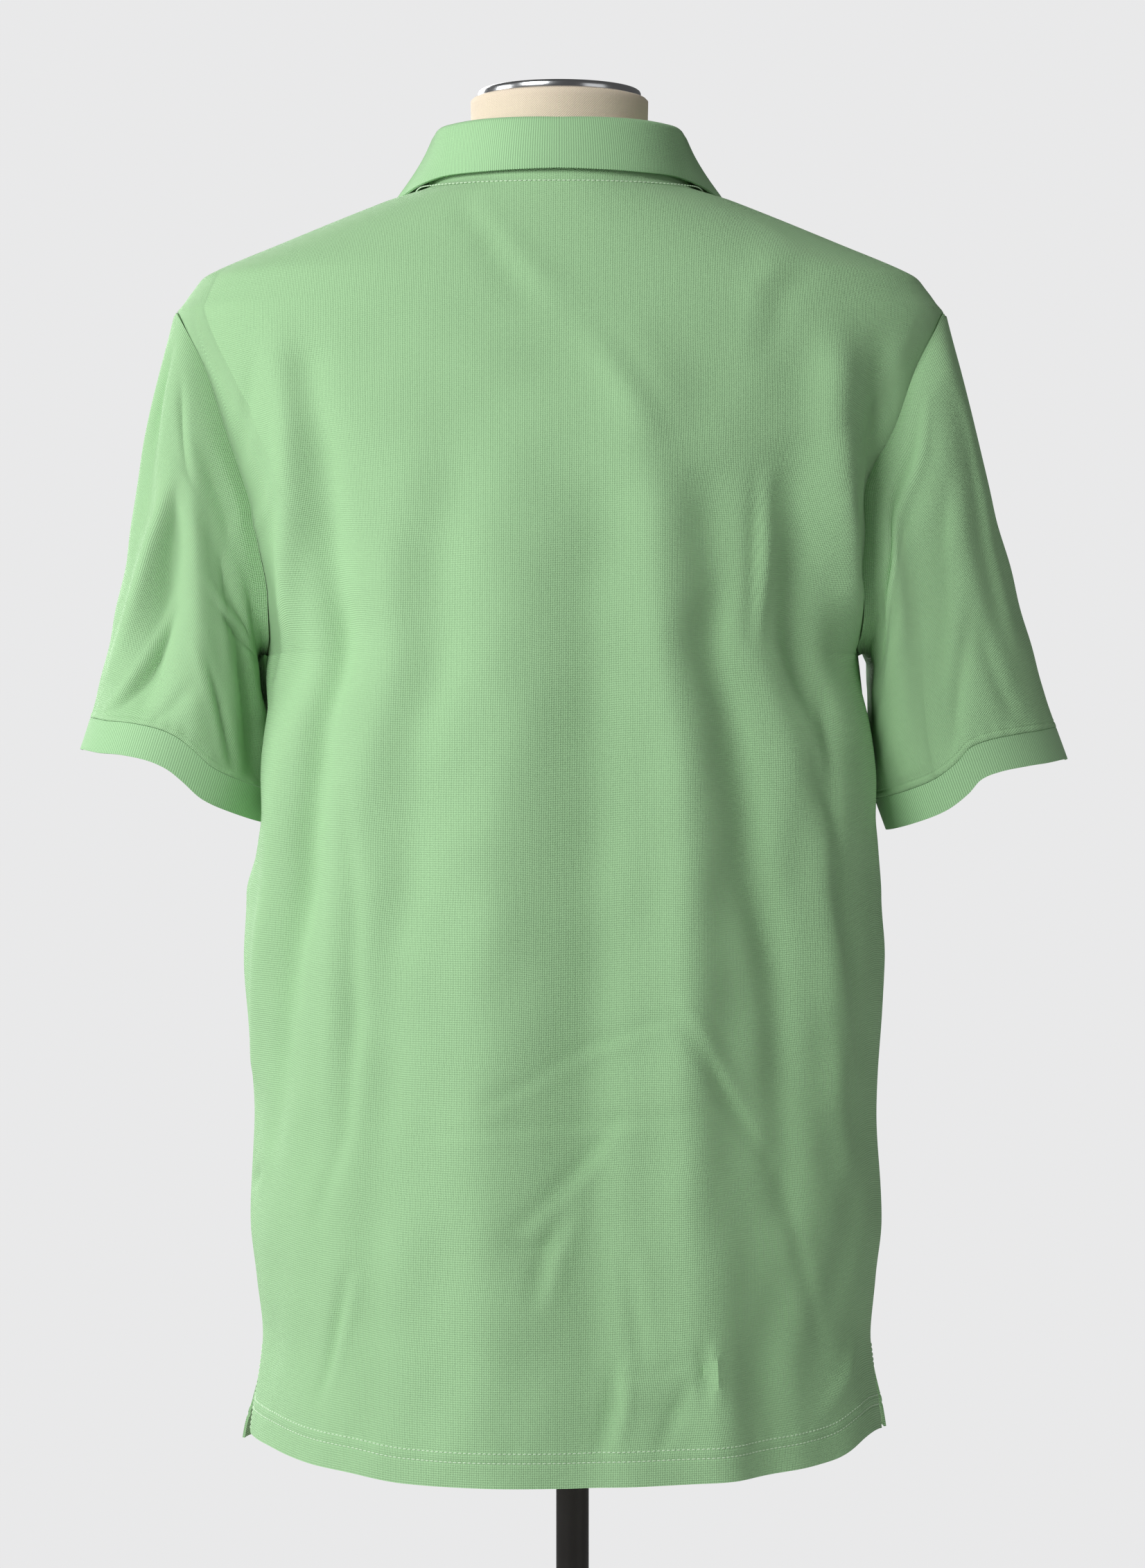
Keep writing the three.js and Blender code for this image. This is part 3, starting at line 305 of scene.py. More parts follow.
SLEEVE_FINE = {"around": 180, "along": 72, "near_cuff": 21, "cuff_from": 0.945}

COLLAR_STATIONS = table(
    ("share", "fold", "inset", "edge_turn", "edge_z", "edge_lift", "bulge"),
    (0.0, 30, 9, 9, 1375, 7, 2.5),
    (0.12, 30, 7, 13.5, 1392, 6, 2.5),
    (0.3, 31, 5, 27.6, 1458, 5, 2),
    (0.42, 33, 7, 52, 1486, 4, 0),
    (0.5, 34, 8, 84, 1495, 3.4, -1.5),
    (0.6, 31.5, 7, 112, 1499, 3.6, -1),
    (0.7, 28.5, 6, 130, 1501, 3.8, 0),
    (0.85, 26, 4.5, 152, 1502.5, 3.6, 0.8),
    (1.0, 24.5, 3.5, 180, 1503.5, 3.6, 1),
)
COLLAR = {"axis_y": -8.0, "bend_radius": 2.6, "bend_angle": 165.0, "stand": 5, "bend": 7, "fall": 10}

FORM_RINGS = table(
    ("z", "w", "back", "front", "n"),
    (802, 150, 98, 84, 2.2),
    (815, 163, 110, 95, 2.2),
    (900, 168, 118, 101, 2.2),
    (1000, 154, 112, 96, 2.2),
    (1090, 148, 108, 98, 2.2),
    (1215, 160, 118, 114, 2.2),
    (1300, 176, 113, 115, 2.2),
    (1350, 189, 104, 108, 2.2),
    (1390, 204, 94, 99, 2.2),
    (1415, 217, 88, 93, 2.2),
    (1430, 221, 87, 89, 2.2),
)
FORM_SHOULDER = {"from": 1437, "to": 1494, "step": 8, "drop": 3.4, "back": 6, "front": 13, "edge_z": 1450, "edge": 4}
NECK_RINGS = table(
    ("z", "w", "back", "front", "n"),
    (1500, 74, 66, 55.5, 2.1),
    (1508, 63.5, 60, 55, 2),
    (1520, 57, 56, 54.5, 2),
    (1535, 54.5, 54.5, 54.5, 2),
    (1556.7, 54.5, 54.5, 54.5, 2),
)
CAP = {"radius": 50.0, "rim": 5.0, "z": 1557.0}
POLE = {"radius": 10.0, "top": 801.7}
BASE = {"radius": 180.0, "height": 11.0, "hub": 24.0, "hub_height": 30.0}


def clamp01(value):
    return np.clip(value, 0.0, 1.0)


def ease(value):
    t = clamp01(value)
    return t * t * (3 - 2 * t)


def lerp(a, b, t):
    return a + (b - a) * t


def power(value, exponent):
    return np.sign(value) * np.abs(value) ** exponent


def along(rows, key, at, column):
    """Smooth value of one column of a table at a height or share."""
    xs, ys = rows[key], rows[column]
    slope = np.empty_like(ys)
    slope[1:-1] = (ys[2:] - ys[:-2]) / (xs[2:] - xs[:-2])
    slope[0] = (ys[1] - ys[0]) / (xs[1] - xs[0])
    slope[-1] = (ys[-1] - ys[-2]) / (xs[-1] - xs[-2])
    at = np.asarray(at, float)
    i = np.clip(np.searchsorted(xs, at, "right") - 1, 0, len(xs) - 2)
    span = xs[i + 1] - xs[i]
    t = clamp01((at - xs[i]) / span)
    rise = ys[i + 1] - ys[i]
    low, high = slope[i] * span, slope[i + 1] * span
    return ys[i] + t * low + t * t * (3 * rise - 2 * low - high) + t**3 * (low + high - 2 * rise)


def lean(z):
    return lerp(LEAN["low"], LEAN["high"], clamp01((z - LEAN["low_z"]) / (LEAN["high_z"] - LEAN["low_z"])))


def ring_point(rings, turn, z, n=SQUARE):
    """A point of a ring; turn is 0 at the back, 90 at +X and 180 at the front."""
    angle = np.radians(turn)
    w = along(rings, "z", z, "w")
    depth = np.where(np.cos(angle) >= 0, along(rings, "z", z, "back"), along(rings, "z", z, "front"))
    x = w * power(np.sin(angle), 2 / n)
    y = depth * power(np.cos(angle), 2 / n)
    return np.stack(np.broadcast_arrays(x, y, z), -1)


def turn_at(x, z):
    """The turn at which a ring of the shirt reaches a half width."""
    return np.degrees(np.arcsin(clamp01(x / along(SHIRT_RINGS, "z", z, "w")) ** (SQUARE / 2)))


def unit(vectors):
    return vectors / np.maximum(np.linalg.norm(vectors, axis=-1, keepdims=True), 1e-9)


def shirt_normal(turn, z):
    around = ring_point(SHIRT_RINGS, turn + 0.6, z) - ring_point(SHIRT_RINGS, turn - 0.6, z)
    up = ring_point(SHIRT_RINGS, turn, z + 1) - ring_point(SHIRT_RINGS, turn, z - 1)
    return unit(np.cross(up, around))


def fold_height(folds, girth, z):
    """Height of the folds at places given by girth and height."""
    total = np.zeros(np.broadcast(girth, z).shape)
    for depth, width, path in folds:
        nearest = np.full(total.shape, np.inf)
        place = np.zeros(total.shape)
        for i in range(len(path) - 1):
            a0, z0 = path[i][0] * MM_PER_DEGREE, path[i][1]
            da, dz = path[i + 1][0] * MM_PER_DEGREE - a0, path[i + 1][1] - z0
            t = clamp01(((girth - a0) * da + (z - z0) * dz) / (da * da + dz * dz))
            d = np.hypot(girth - a0 - t * da, z - z0 - t * dz)
            closer = d < nearest
            nearest = np.where(closer, d, nearest)
            place = np.where(closer, (i + t) / (len(path) - 1), place)
        total += depth * (0.35 + 0.65 * np.sin(np.pi * place)) * np.exp(-((nearest / width) ** 2))
    return total


def slack(girth, z, seed):
    """Slow unevenness of worn cloth, a few tenths of a millimetre deep."""
    waves = ((61, 143, 0.3), (97, 71, 1.7), (43, 211, 2.9), (151, 57, 4.1), (37, 83, 5.3))
    total = 0.0
    for wide, tall, phase in waves:
        total = total + np.sin(2 * np.pi * (girth / wide + z / tall) + phase + seed)
        total = total + np.sin(2 * np.pi * (girth / (wide * 1.3) - z / (tall * 0.8)) + 2 * phase - seed)
    return 0.16 * total


def shirt_point(turn, z, lift=0.0, fine=True):
    """Points of the outer face of the shirt's body; turn as for ring_point."""
    turn, z = np.broadcast_arrays(np.asarray(turn, float), np.asarray(z, float))
    point = ring_point(SHIRT_RINGS, turn, z)
    normal = shirt_normal(turn, z)
    back = np.cos(np.radians(turn)) >= 0
    signed = np.where(back, turn, np.sign(turn) * (180 - np.abs(turn)))
    girth = signed * MM_PER_DEGREE
    folds = np.where(back, fold_height(BACK_FOLDS, girth, z), fold_height(FRONT_FOLDS, girth, z))
    near_seam = clamp01((90 - np.abs(signed)) / 12)
    near_top = clamp01((1425 - z) / 40)
    height = folds * near_seam * near_top
    if fine:
        creases = np.where(back, fold_height(BACK_CREASES, girth, z), fold_height(FRONT_CREASES, girth, z))
        worn = creases + slack(girth, z, 0.0) * near_top
        height = height + worn * near_seam * clamp01((NECK_BACK_Z - 6 - z) / 30)
    dent = ease((z - SIDE_DENT["low"]) / (SIDE_DENT["low_full"] - SIDE_DENT["low"]))
    dent = dent * ease((SIDE_DENT["high"] - z) / (SIDE_DENT["high"] - SIDE_DENT["high_full"]))
    depth = np.where(signed > 0, LEFT_DENT["depth"], RIGHT_DENT["depth"])
    width = np.where(signed > 0, LEFT_DENT["width"], RIGHT_DENT["width"])
    dent = depth * dent * np.exp(-(((90 - np.abs(signed)) / width) ** 2))
    return point + normal * (height - dent + lift)[..., None]


def armhole_edge(step, bite):
    """The edge of the armhole; step runs from 0 at the underarm to 1 at the tip."""
    angle = np.pi * step
    middle = (UNDERARM_Z + SHOULDER_TIP_Z) / 2
    half = (SHOULDER_TIP_Z - UNDERARM_Z) / 2
    exponent = 2 / ARMHOLE["power"]
    turn = 90 - bite * np.abs(np.sin(angle)) ** exponent
    return turn, middle - half * power(np.cos(angle), exponent)


def neckline(share, is_back):
    """The neckline from the middle (0) to the neck point (1)."""
    if is_back:
        return 90 * share, lerp(NECK_BACK_Z, NECK_POINT_Z, share * share)
    angle = np.radians(90 * (1 - (1 - share) ** 2))
    z = NECK_POINT_Z - (NECK_POINT_Z - NECK_FRONT_Z) * np.cos(angle)
    return turn_at(NECK_HALF_WIDTH * np.sin(angle), z), z


def shoulder_z(width):
    """Height of the shoulder line at a half width."""
    low = np.full(np.shape(width), SHOULDER_TIP_Z)
    high = np.full(np.shape(width), NECK_POINT_Z)
    for _ in range(30):
        middle = (low + high) / 2
        wider = along(SHIRT_RINGS, "z", middle, "w") > width
        low, high = np.where(wider, middle, low), np.where(wider, high, middle)
    return (low + high) / 2


def panel_top(share, is_back):
    """The top of a panel from the middle (0) to the shoulder tip (1)."""
    neck_turn, neck_z = neckline(clamp01(share / PANEL["neck_share"]), is_back)
    out = clamp01((share - PANEL["neck_share"]) / (1 - PANEL["neck_share"]))
    tip = along(SHIRT_RINGS, "z", SHOULDER_TIP_Z, "w")
    on_neck = share <= PANEL["neck_share"]
    z = shoulder_z(lerp(NECK_HALF_WIDTH, tip, out))
    return np.where(on_neck, neck_turn, 90.0), np.where(on_neck, neck_z, z)


def hem_z(turn, is_back):
    side = np.abs(turn) / 90
    left, right = ("left", "right") if is_back else ("front_left", "front_right")
    rise = np.where(turn > 0, along(HEM_RISE, "side", side, left), along(HEM_RISE, "side", side, right))
    return HEM["back" if is_back else "front"] + rise


def sewn_relief(girth, distance, rows):
    """Height by a sewn edge: the doubled cloth, a dip along each row of stitches and small puckers."""
    height = SEWN["doubled"] * ease((rows[-1] + 1.8 - distance) / 1.2)
    for row in rows:
        height = height - SEWN["dip"] * np.exp(-(((distance - row) / SEWN["dip_width"]) ** 2))
    wave = np.sin(girth / 2.6 + 2.5 * np.sin(girth / 17))
    return height + SEWN["pucker"] * wave * np.exp(-(((distance - rows[-1]) / 6) ** 2))


def high_share(even):
    return lerp(even, 1 - (1 - even) ** 2, 0.6)


def panel_place(share, row, is_back):
    """Place (turn, z) in a panel; row is 0 at the hem, 1 at the underarm and 2 at the top."""
    u = np.abs(share)
    low_z = lerp(hem_z(share * 90, is_back), UNDERARM_Z, clamp01(row))
    s = high_share(clamp01(row - 1))
    edge_turn, edge_z = armhole_edge(s, ARMHOLE["back" if is_back else "front"])
    top_turn, top_z = panel_top(u, is_back)
    middle_top = NECK_BACK_Z if is_back else NECK_FRONT_Z
    turn = (1 - s) * 90 * u + s * top_turn + u * edge_turn - u * 90
    z = (1 - s) * UNDERARM_Z + s * top_z + (1 - u) * lerp(UNDERARM_Z, middle_top, s) + u * edge_z
    z = z - (1 - s) * UNDERARM_Z - (1 - u) * s * middle_top - u * s * SHOULDER_TIP_Z
    low = row <= 1
    return np.sign(share) * np.where(low, 90 * u, turn), np.where(low, low_z, z)


def panel_point(share, row, is_back, lift=0.0, fine=True):
    """Points of a panel's outer face."""
    share, row = np.broadcast_arrays(np.asarray(share, float), np.asarray(row, float))
    turn, z = panel_place(share, row, is_back)
    if not is_back:
        slit, column = PANEL["slit_share"], 1 / PANEL["half_columns"]
        slit_turn, _ = panel_place(np.full(share.shape, slit), row, False)
        u = np.abs(share)
        shift = turn_at(PLACKET["half_width"] + 1.5 * SEAM, z) - slit_turn
        inside = u / slit * turn_at(PLACKET["half_width"] + 1.5 * SEAM, z)
        outside = np.abs(turn) + shift * clamp01((column - u) / (column - slit))
        turn = np.sign(share) * np.where(u <= slit, inside, outside)
    open_share = clamp01(1 - (z - hem_z(90 * share, is_back)) / VENT_HEIGHT)
    at_edge = ease((np.abs(share) - 0.86) / 0.14) * (row < 1)
    turn = turn - np.sign(share) * VENT_SPREAD * open_share * at_edge / MM_PER_DEGREE
    if fine:
        lift = lift + sewn_relief(turn * MM_PER_DEGREE, z - hem_z(90 * share, is_back), HEM_STITCHES)
    point = shirt_point(turn if is_back else 180 - turn, z, lift, fine)
    point[..., 1] += SEAM / 2 if is_back else -SEAM / 2
    corner = VENT_OUT["back" if is_back else "front"]
    out = np.where(share > 0, corner["left"], -corner["right"])
    point[..., 0] += out * ease(open_share) * ease((np.abs(share) - 0.9) / 0.1) * (row < 1)
    return point


def grid_normals(grid, closed=False):
    """Outward directions of a grid of points, columns running round to the right."""
    if closed:
        across = np.roll(grid, -1, 1) - np.roll(grid, 1, 1)
    else:
        across = np.empty_like(grid)
        across[:, 1:-1] = grid[:, 2:] - grid[:, :-2]
        across[:, 0] = grid[:, 1] - grid[:, 0]
        across[:, -1] = grid[:, -1] - grid[:, -2]
    up = np.empty_like(grid)
    up[1:-1] = grid[2:] - grid[:-2]
    up[0] = grid[1] - grid[0]
    up[-1] = grid[-1] - grid[-2]
    return unit(np.cross(across, up))


def wall_mesh(name, outer, inner, closed=False, has=None, leaning=True, flip=False, groove_shade=None):
    """A closed wall from two grids, with its UV map in metres along the cloth."""
    rows, columns = outer.shape[:2]
    spans = columns if closed else columns - 1
    filled = np.ones((rows - 1, spans), bool) if has is None else has
    points = np.concatenate([outer.reshape(-1, 3), inner.reshape(-1, 3)])
    if leaning:
        points = points + np.stack([lean(points[:, 2]), 0 * points[:, 0], 0 * points[:, 0]], -1)
    i, j = np.nonzero(filled)
    k = (j + 1) % columns
    shift = rows * columns

    def at(a, b):
        return a * columns + b

    faces = [np.stack([at(i, j), at(i, k), at(i + 1, k), at(i + 1, j)], -1)]
    faces.append(np.stack([at(i, k), at(i, j), at(i + 1, j), at(i + 1, k)], -1) + shift)
    padded = np.zeros((rows + 1, spans + 2), bool)
    padded[1:-1, 1:-1] = filled
    if closed:
        padded[1:-1, 0], padded[1:-1, -1] = filled[:, -1], filled[:, 0]
    here = padded[i + 1, j + 1]
    for di, dj, a, b in ((-1, 0, (0, 0), (0, 1)), (1, 0, (1, 1), (1, 0)), (0, -1, (1, 0), (0, 0)), (0, 1, (0, 1), (1, 1))):
        rim = here & ~padded[i + 1 + di, j + 1 + dj]
        ri, rj = i[rim], j[rim]
        p = at(ri + a[0], (rj + a[1]) % columns)
        q = at(ri + b[0], (rj + b[1]) % columns)
        faces.append(np.stack([p + shift, q + shift, q, p], -1))
    faces = np.concatenate(faces)
    if flip:
        faces = faces[:, ::-1]
    mesh = bpy.data.meshes.new(name)
    mesh.vertices.add(len(points))
    mesh.vertices.foreach_set("co", (points * MM).ravel())
    mesh.loops.add(faces.size)
    mesh.loops.foreach_set("vertex_index", faces.ravel())
    mesh.polygons.add(len(faces))
    mesh.polygons.foreach_set("loop_start", np.arange(0, faces.size, 4))
    mesh.update(calc_edges=True)
    u = np.zeros((rows, columns))
    u[:, 1:] = np.cumsum(np.linalg.norm(np.diff(outer, axis=1), axis=-1), 1)
    u -= u[:, columns // 2 : columns // 2 + 1]
    v = np.zeros((rows, columns))
    v[1:] = np.cumsum(np.linalg.norm(np.diff(outer, axis=0), axis=-1), 0)
    flat = np.stack([u.ravel(), v.ravel()], -1) * MM
    layer = mesh.uv_layers.new(name="cloth")
    layer.data.foreach_set("uv", flat[faces.ravel() % shift].ravel())
    # This attribute marks the grooves between ribs, where the rib material paints shade
    if groove_shade is not None:
        depth = np.broadcast_to(groove_shade, (rows, columns)).ravel()
        mesh.attributes.new("groove_shade", "FLOAT", "POINT").data.foreach_set("value", np.concatenate([depth, depth]))
    used = np.zeros(len(points), bool)
    used[faces.ravel()] = True
    piece = bpy.data.objects.new(name, mesh)
    bpy.context.scene.collection.objects.link(piece)
    drop_loose(mesh, used)
    mesh.polygons.foreach_set("use_smooth", np.ones(len(mesh.polygons), bool))
    mark_rim(mesh)
    return piece


def drop_loose(mesh, used):
    """Takes away the points of cells that were left out."""
    if used.all():
        return
    import bmesh

    bm = bmesh.new()
    bm.from_mesh(mesh)
    bm.verts.ensure_lookup_table()
    bmesh.ops.delete(bm, geom=[bm.verts[int(k)] for k in np.nonzero(~used)[0]], context="VERTS")
    bm.to_mesh(mesh)
    bm.free()


def mark_rim(mesh, angle=50.0):
    """Keeps the cut edges of the cloth crisp."""
    mesh.set_sharp_from_angle(angle=math.radians(angle))


def dress(piece, material, slot, *nodes):
    """Gives a piece its material and ties it to the frame."""
    piece.data.materials.clear()
    piece.data.materials.append(material)
    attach(piece, "root")
    if nodes:
        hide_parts(*nodes)
    return piece


def cloth_grid(is_back):
    """The fine grid of a panel with its outward directions."""
    if is_back:
        half = np.linspace(0, 1, FINE["half"] + 1)
    else:
        half = np.concatenate([np.linspace(0, PANEL["slit_share"], FINE["slit"] + 1), np.linspace(PANEL["slit_share"], 1, FINE["half"] - 2)[1:]])
    shares = np.concatenate([-half[:0:-1], half])
    height = UNDERARM_Z - HEM["back" if is_back else "front"]
    sewn_from, sewn_to = HEM_STITCHES[0] - 3, HEM_STITCHES[1] + 3.4
    by_hem = np.arange(sewn_from, sewn_to, FINE["hem_step"])
    low = np.concatenate([np.linspace(0, sewn_from, 6)[:-1], by_hem, np.linspace(sewn_to, height, FINE["low"])])
    rows = np.concatenate([low / height, np.linspace(1, 2, FINE["high"] + 1)[1:]])
    if not is_back:
        slit_row = 1 + PANEL["slit_row"] / PANEL["high_rows"]
        rows[np.argmin(np.abs(rows - slit_row))] = slit_row
    sign = -1 if is_back else 1
    outer = panel_point(sign * shares[None, :], rows[:, None], is_back)
    normals = grid_normals(outer)
    side = np.abs(shares)
    for column in (0, -1):
        normals[rows <= 1, column, 1] = 0
    normals[-1, side >= PANEL["neck_share"], 1] = 0
    return outer, unit(normals), shares, rows


def build_panel(name, is_back, material):
    outer, normals, shares, rows = cloth_grid(is_back)
    has = None
    if not is_back:
        slit_row = 1 + PANEL["slit_row"] / PANEL["high_rows"]
        centre = (shares[:-1] + shares[1:]) / 2
        above = rows[:-1] >= slit_row - 1e-6
        has = ~(above[:, None] & (np.abs(centre) < PANEL["slit_share"])[None, :])
    piece = wall_mesh(name, outer, outer - normals * CLOTH, has=has)
    return dress(piece, material, "pique", name)


def armhole_loop(sign, count):
    """Armhole points and the panels' outward directions, from the tip by the back to the front."""
    even = np.linspace(1, 0, count // 2 + 1)
    share = np.full(even.shape, float(sign))
    back = panel_point(share, 1 + even, True, fine=True)
    front = panel_point(share, 1 + even, False, fine=True)
    loop = np.concatenate([back, front[::-1][1:-1]])
    for k, row in ((0, 0), (count // 2, -1)):
        loop[k] = (back[row] + front[row]) / 2
    back_turn, back_z = panel_place(share, 1 + even, True)
    front_turn, front_z = panel_place(share, 1 + even, False)
    turn = np.concatenate([back_turn, (180 - front_turn)[::-1][1:-1]])
    z = np.concatenate([back_z, front_z[::-1][1:-1]])
    normal = shirt_normal(turn, z)
    tangent = np.roll(loop, -1, 0) - np.roll(loop, 1, 0)
    away = unit(np.cross(tangent, normal))
    middle = loop.mean(0)
    away *= np.where(((middle - loop) * away).sum(-1) < 0, -1, 1)[:, None]
    height = np.cos(2 * np.pi * np.arange(count) / count)
    end = np.where(height > 0, TIP_EASE, UNDERARM_EASE)
    return loop + away * (SEAM + lerp(SIDE_EASE, end, np.abs(height)))[:, None], normal


def cuff_wave(sleeve, around):
    """How far the cuff is pulled up at a place around it."""
    around = np.mod(around, 360.0)
    front = around > 180
    wave = along(CUFF_WAVE, "around", np.where(front, 360 - around, around), "left" if sleeve["sign"] > 0 else "right")
    return wave + front * CUFF["front_rise"] * np.abs(np.sin(np.radians(around)))


def cuff_point(sleeve, around, drop):
    """Points of the cuff; drop is measured along it from its seam."""
    tilt = math.radians(sleeve["tilt"])
    sign = sleeve["sign"]
    middle = np.array([sleeve["x"] - lean(sleeve["z"]), sleeve["y"], sleeve["z"]])
    across = np.array([sign * math.cos(tilt), 0, math.sin(tilt)])
    down = np.array([sign * math.sin(tilt), 0, -math.cos(tilt)])
    around, drop = np.broadcast_arrays(np.asarray(around, float), np.asarray(drop, float))
    angle = np.radians(around)
    return (
        middle
        + across * (CUFF["across"] * np.cos(angle))[..., None]
        + down * (drop - CUFF["height"] - cuff_wave(sleeve, around))[..., None]
        + np.array([0.0, 1, 0]) * (CUFF["deep"] * np.sin(angle))[..., None]
    )


def sleeve_grid(sleeve):
    count = SLEEVE_FINE["around"]
    side = "left" if sleeve["sign"] > 0 else "right"
    loop, normal = armhole_loop(sleeve["sign"], count)
    around = np.arange(count) / count * 360
    upper_rows = np.linspace(0, SLEEVE_FINE["cuff_from"], SLEEVE_FINE["along"])
    cuff_rows = np.linspace(SLEEVE_FINE["cuff_from"], 1, SLEEVE_FINE["near_cuff"])[1:]
    t = np.concatenate([upper_rows, cuff_rows])[:, None]
    end = cuff_point(sleeve, around, -SEAM)
    leaving = cuff_point(sleeve, around, 1.0) - cuff_point(sleeve, around, 0.0)
    length = np.linalg.norm(loop - end, axis=-1)
    upper = (1 + np.cos(np.radians(around))) / 2
    leave = np.stack(
        [
            sleeve["sign"] * lerp(LEAVE["low_out"], LEAVE["top_out"], upper),
            LEAVE["deep"] * np.sin(np.radians(around)),
            lerp(LEAVE["low_up"], -LEAVE["top_down"], upper),
        ],
        -1,
    )
    a = (2 * t**3 - 3 * t * t + 1)[..., None]
    b = (t**3 - 2 * t * t + t) * length
    c = (t**3 - t * t) * length * lerp(LEAVE["low_pull"], LEAVE["top_pull"], upper)
    point = loop * a + leave * b[..., None] + end * (1 - a) + leaving * c[..., None]
    reach = np.linalg.norm(np.diff(point, axis=0), axis=-1)
    from_cuff = np.concatenate([np.cumsum(reach[::-1], 0)[::-1], np.zeros((1, count))])
    height = np.zeros(from_cuff.shape)
    for depth, width, middle, start, stop, drift in SLEEVE_FOLDS[side] + SLEEVE_CREASES[side]:
        inside = clamp01((t - start) / (stop - start))
        off = around[None, :] - middle - drift * (inside - 0.5)
        height += depth * np.sin(np.pi * inside) * np.exp(-((off / width) ** 2))
    height = height * clamp01((1 - t) / 0.06)
    worn = slack(around[None, :] * 1.3, 280 * t, sleeve["sign"] * 1.4)
    height += worn * np.sin(np.pi * clamp01(t)) ** 0.6
    height += sewn_relief(around[None, :] * 1.3, from_cuff, CUFF_STITCHES) * clamp01(from_cuff / 0.8)
    outward = np.stack([sleeve["sign"] * np.cos(np.radians(around)), np.sin(np.radians(around)), 0 * around], -1)
    grid = point + outward * height[..., None]
    normals = grid_normals(grid, True) * sleeve["sign"]
    along_cuff = unit(leaving)[None]
    lean_out = (normals * along_cuff).sum(-1, keepdims=True) * along_cuff
    normals = unit(normals - lean_out * ease((12 - from_cuff) / 7)[..., None])
    first = unit(grid[1] - grid[0])
    convex = (first * normal).sum(-1) < 0.1
    normals[0, convex] = normal[convex]
    return grid, normals, around


def build_sleeve(side, material):
    sleeve = SLEEVES[side]
    grid, normals, _ = sleeve_grid(sleeve)
    name = f"sleeve_{side}"
    piece = wall_mesh(name, grid, grid - normals * CLOTH, closed=True, flip=sleeve["sign"] < 0)
    return dress(piece, material, "pique", name)


def ribs(places, pitch, depth):
    """Height of knit ribs that stand across a run of places in millimetres."""
    return depth * (np.abs(np.sin(np.pi * places / pitch)) ** 0.8 - 0.6)


def build_cuff(side, material, pitch):
    sleeve = SLEEVES[side]
    name = f"cuff_{side}"
    girth = 2 * math.pi * math.sqrt((CUFF["across"] ** 2 + CUFF["deep"] ** 2) / 2)
    count = int(round(girth / pitch))
    per_rib = 4
    total = count * per_rib
    around = np.arange(total) / total * 360
    drop = np.concatenate([[0, 0.5], np.linspace(1.5, CUFF["height"] - 1.5, 8), [CUFF["height"] - 0.5, CUFF["height"]]])[:, None]
    grid = cuff_point(sleeve, around[None, :], drop)
    normals = grid_normals(grid, True) * sleeve["sign"]
    swell = np.sqrt(clamp01(np.minimum(drop, CUFF["height"] - drop) / 1.2)) - 1
    rib = ribs(np.arange(total), per_rib, 0.5)[None, :]
    outer = grid + normals * (rib * (0.4 + 0.6 * (1 + swell)) + 0.5 * swell)[..., None]
    # Mask of the grooves between the ribs, where painted shade darkens the colour
    groove_shade = 1 - np.abs(np.sin(np.pi * np.arange(total) / per_rib))[None, :]
    piece = wall_mesh(
        name, outer, grid - normals * (RIB - 0.3), closed=True, flip=sleeve["sign"] < 0, groove_shade=groove_shade
    )
    return dress(piece, material, "rib", name)


def neckline_point(share):
    """The neckline loop from the centre front (0) to the centre back (1)."""
    share = np.asarray(share, float)
    is_back = share > 0.5
    back_turn, back_z = neckline(clamp01((1 - share) * 2), True)
    front_turn, front_z = neckline(clamp01(share * 2), False)
    turn = np.where(is_back, back_turn, 180 - front_turn)
    z = np.where(is_back, back_z, front_z)
    return ring_point(SHIRT_RINGS, turn, z), shirt_normal(turn, z)


def collar_lines(share, sign):
    """Sections of the collar, from the neck seam over the fold to its edge."""
    def value(column):
        return along(COLLAR_STATIONS, "share", share, column)

    point, normal = neckline_point(share)
    step = 0.02
    ahead, _ = neckline_point(np.minimum(1, share + step))
    behind, _ = neckline_point(np.maximum(0, share - step))
    away = unit(np.cross(ahead - behind, normal))
    away *= np.where(away[:, 2] < 0, -1, 1)[:, None]
    outward = unit(np.stack([point[:, 0], point[:, 1] - COLLAR["axis_y"], 0 * share], -1))
    sideways = np.hypot(away[:, 0], away[:, 1])
    seam = point - normal * CLOTH / 2 + away * (SEAM + RIB * 0.6 * sideways + 0.1)[:, None]
    radius = COLLAR["bend_radius"]
    top = seam - outward * value("inset")[:, None]
    top[:, 2] += value("fold") - radius
    line = [lerp(seam, top, i / COLLAR["stand"]) for i in range(COLLAR["stand"] + 1)]
    for i in range(1, COLLAR["bend"] + 1):
        angle = math.radians(i / COLLAR["bend"] * COLLAR["bend_angle"])
        bent = top + outward * radius * (1 - math.cos(angle))
        bent[:, 2] += radius * math.sin(angle)
        line.append(bent)
    bend = line[-1]
    edge_turn = 180 - value("edge_turn")
    edge = ring_point(SHIRT_RINGS, edge_turn, value("edge_z"))
    edge = edge + shirt_normal(edge_turn, value("edge_z")) * value("edge_lift")[:, None]
    for i in range(1, COLLAR["fall"] + 1):
        t = i / COLLAR["fall"]
        chord = lerp(bend, edge, t) + outward * value("bulge")[:, None] * math.sin(math.pi * t)
        chest_z = np.minimum(chord[:, 2], 1488)
        chest_turn = 180 - turn_at(np.abs(chord[:, 0]), chest_z)
        lift = lerp(8.5, value("edge_lift"), t)[:, None]
        on_chest = ring_point(SHIRT_RINGS, chest_turn, chest_z) + shirt_normal(chest_turn, chest_z) * lift
        lay = clamp01((0.4 - share) / 0.15) * clamp01((1490 - chord[:, 2]) / 15)
        line.append(lerp(chord, on_chest, lay[:, None]))
    grid = np.stack(line, 1)
    grid[..., 0] *= sign
    return grid


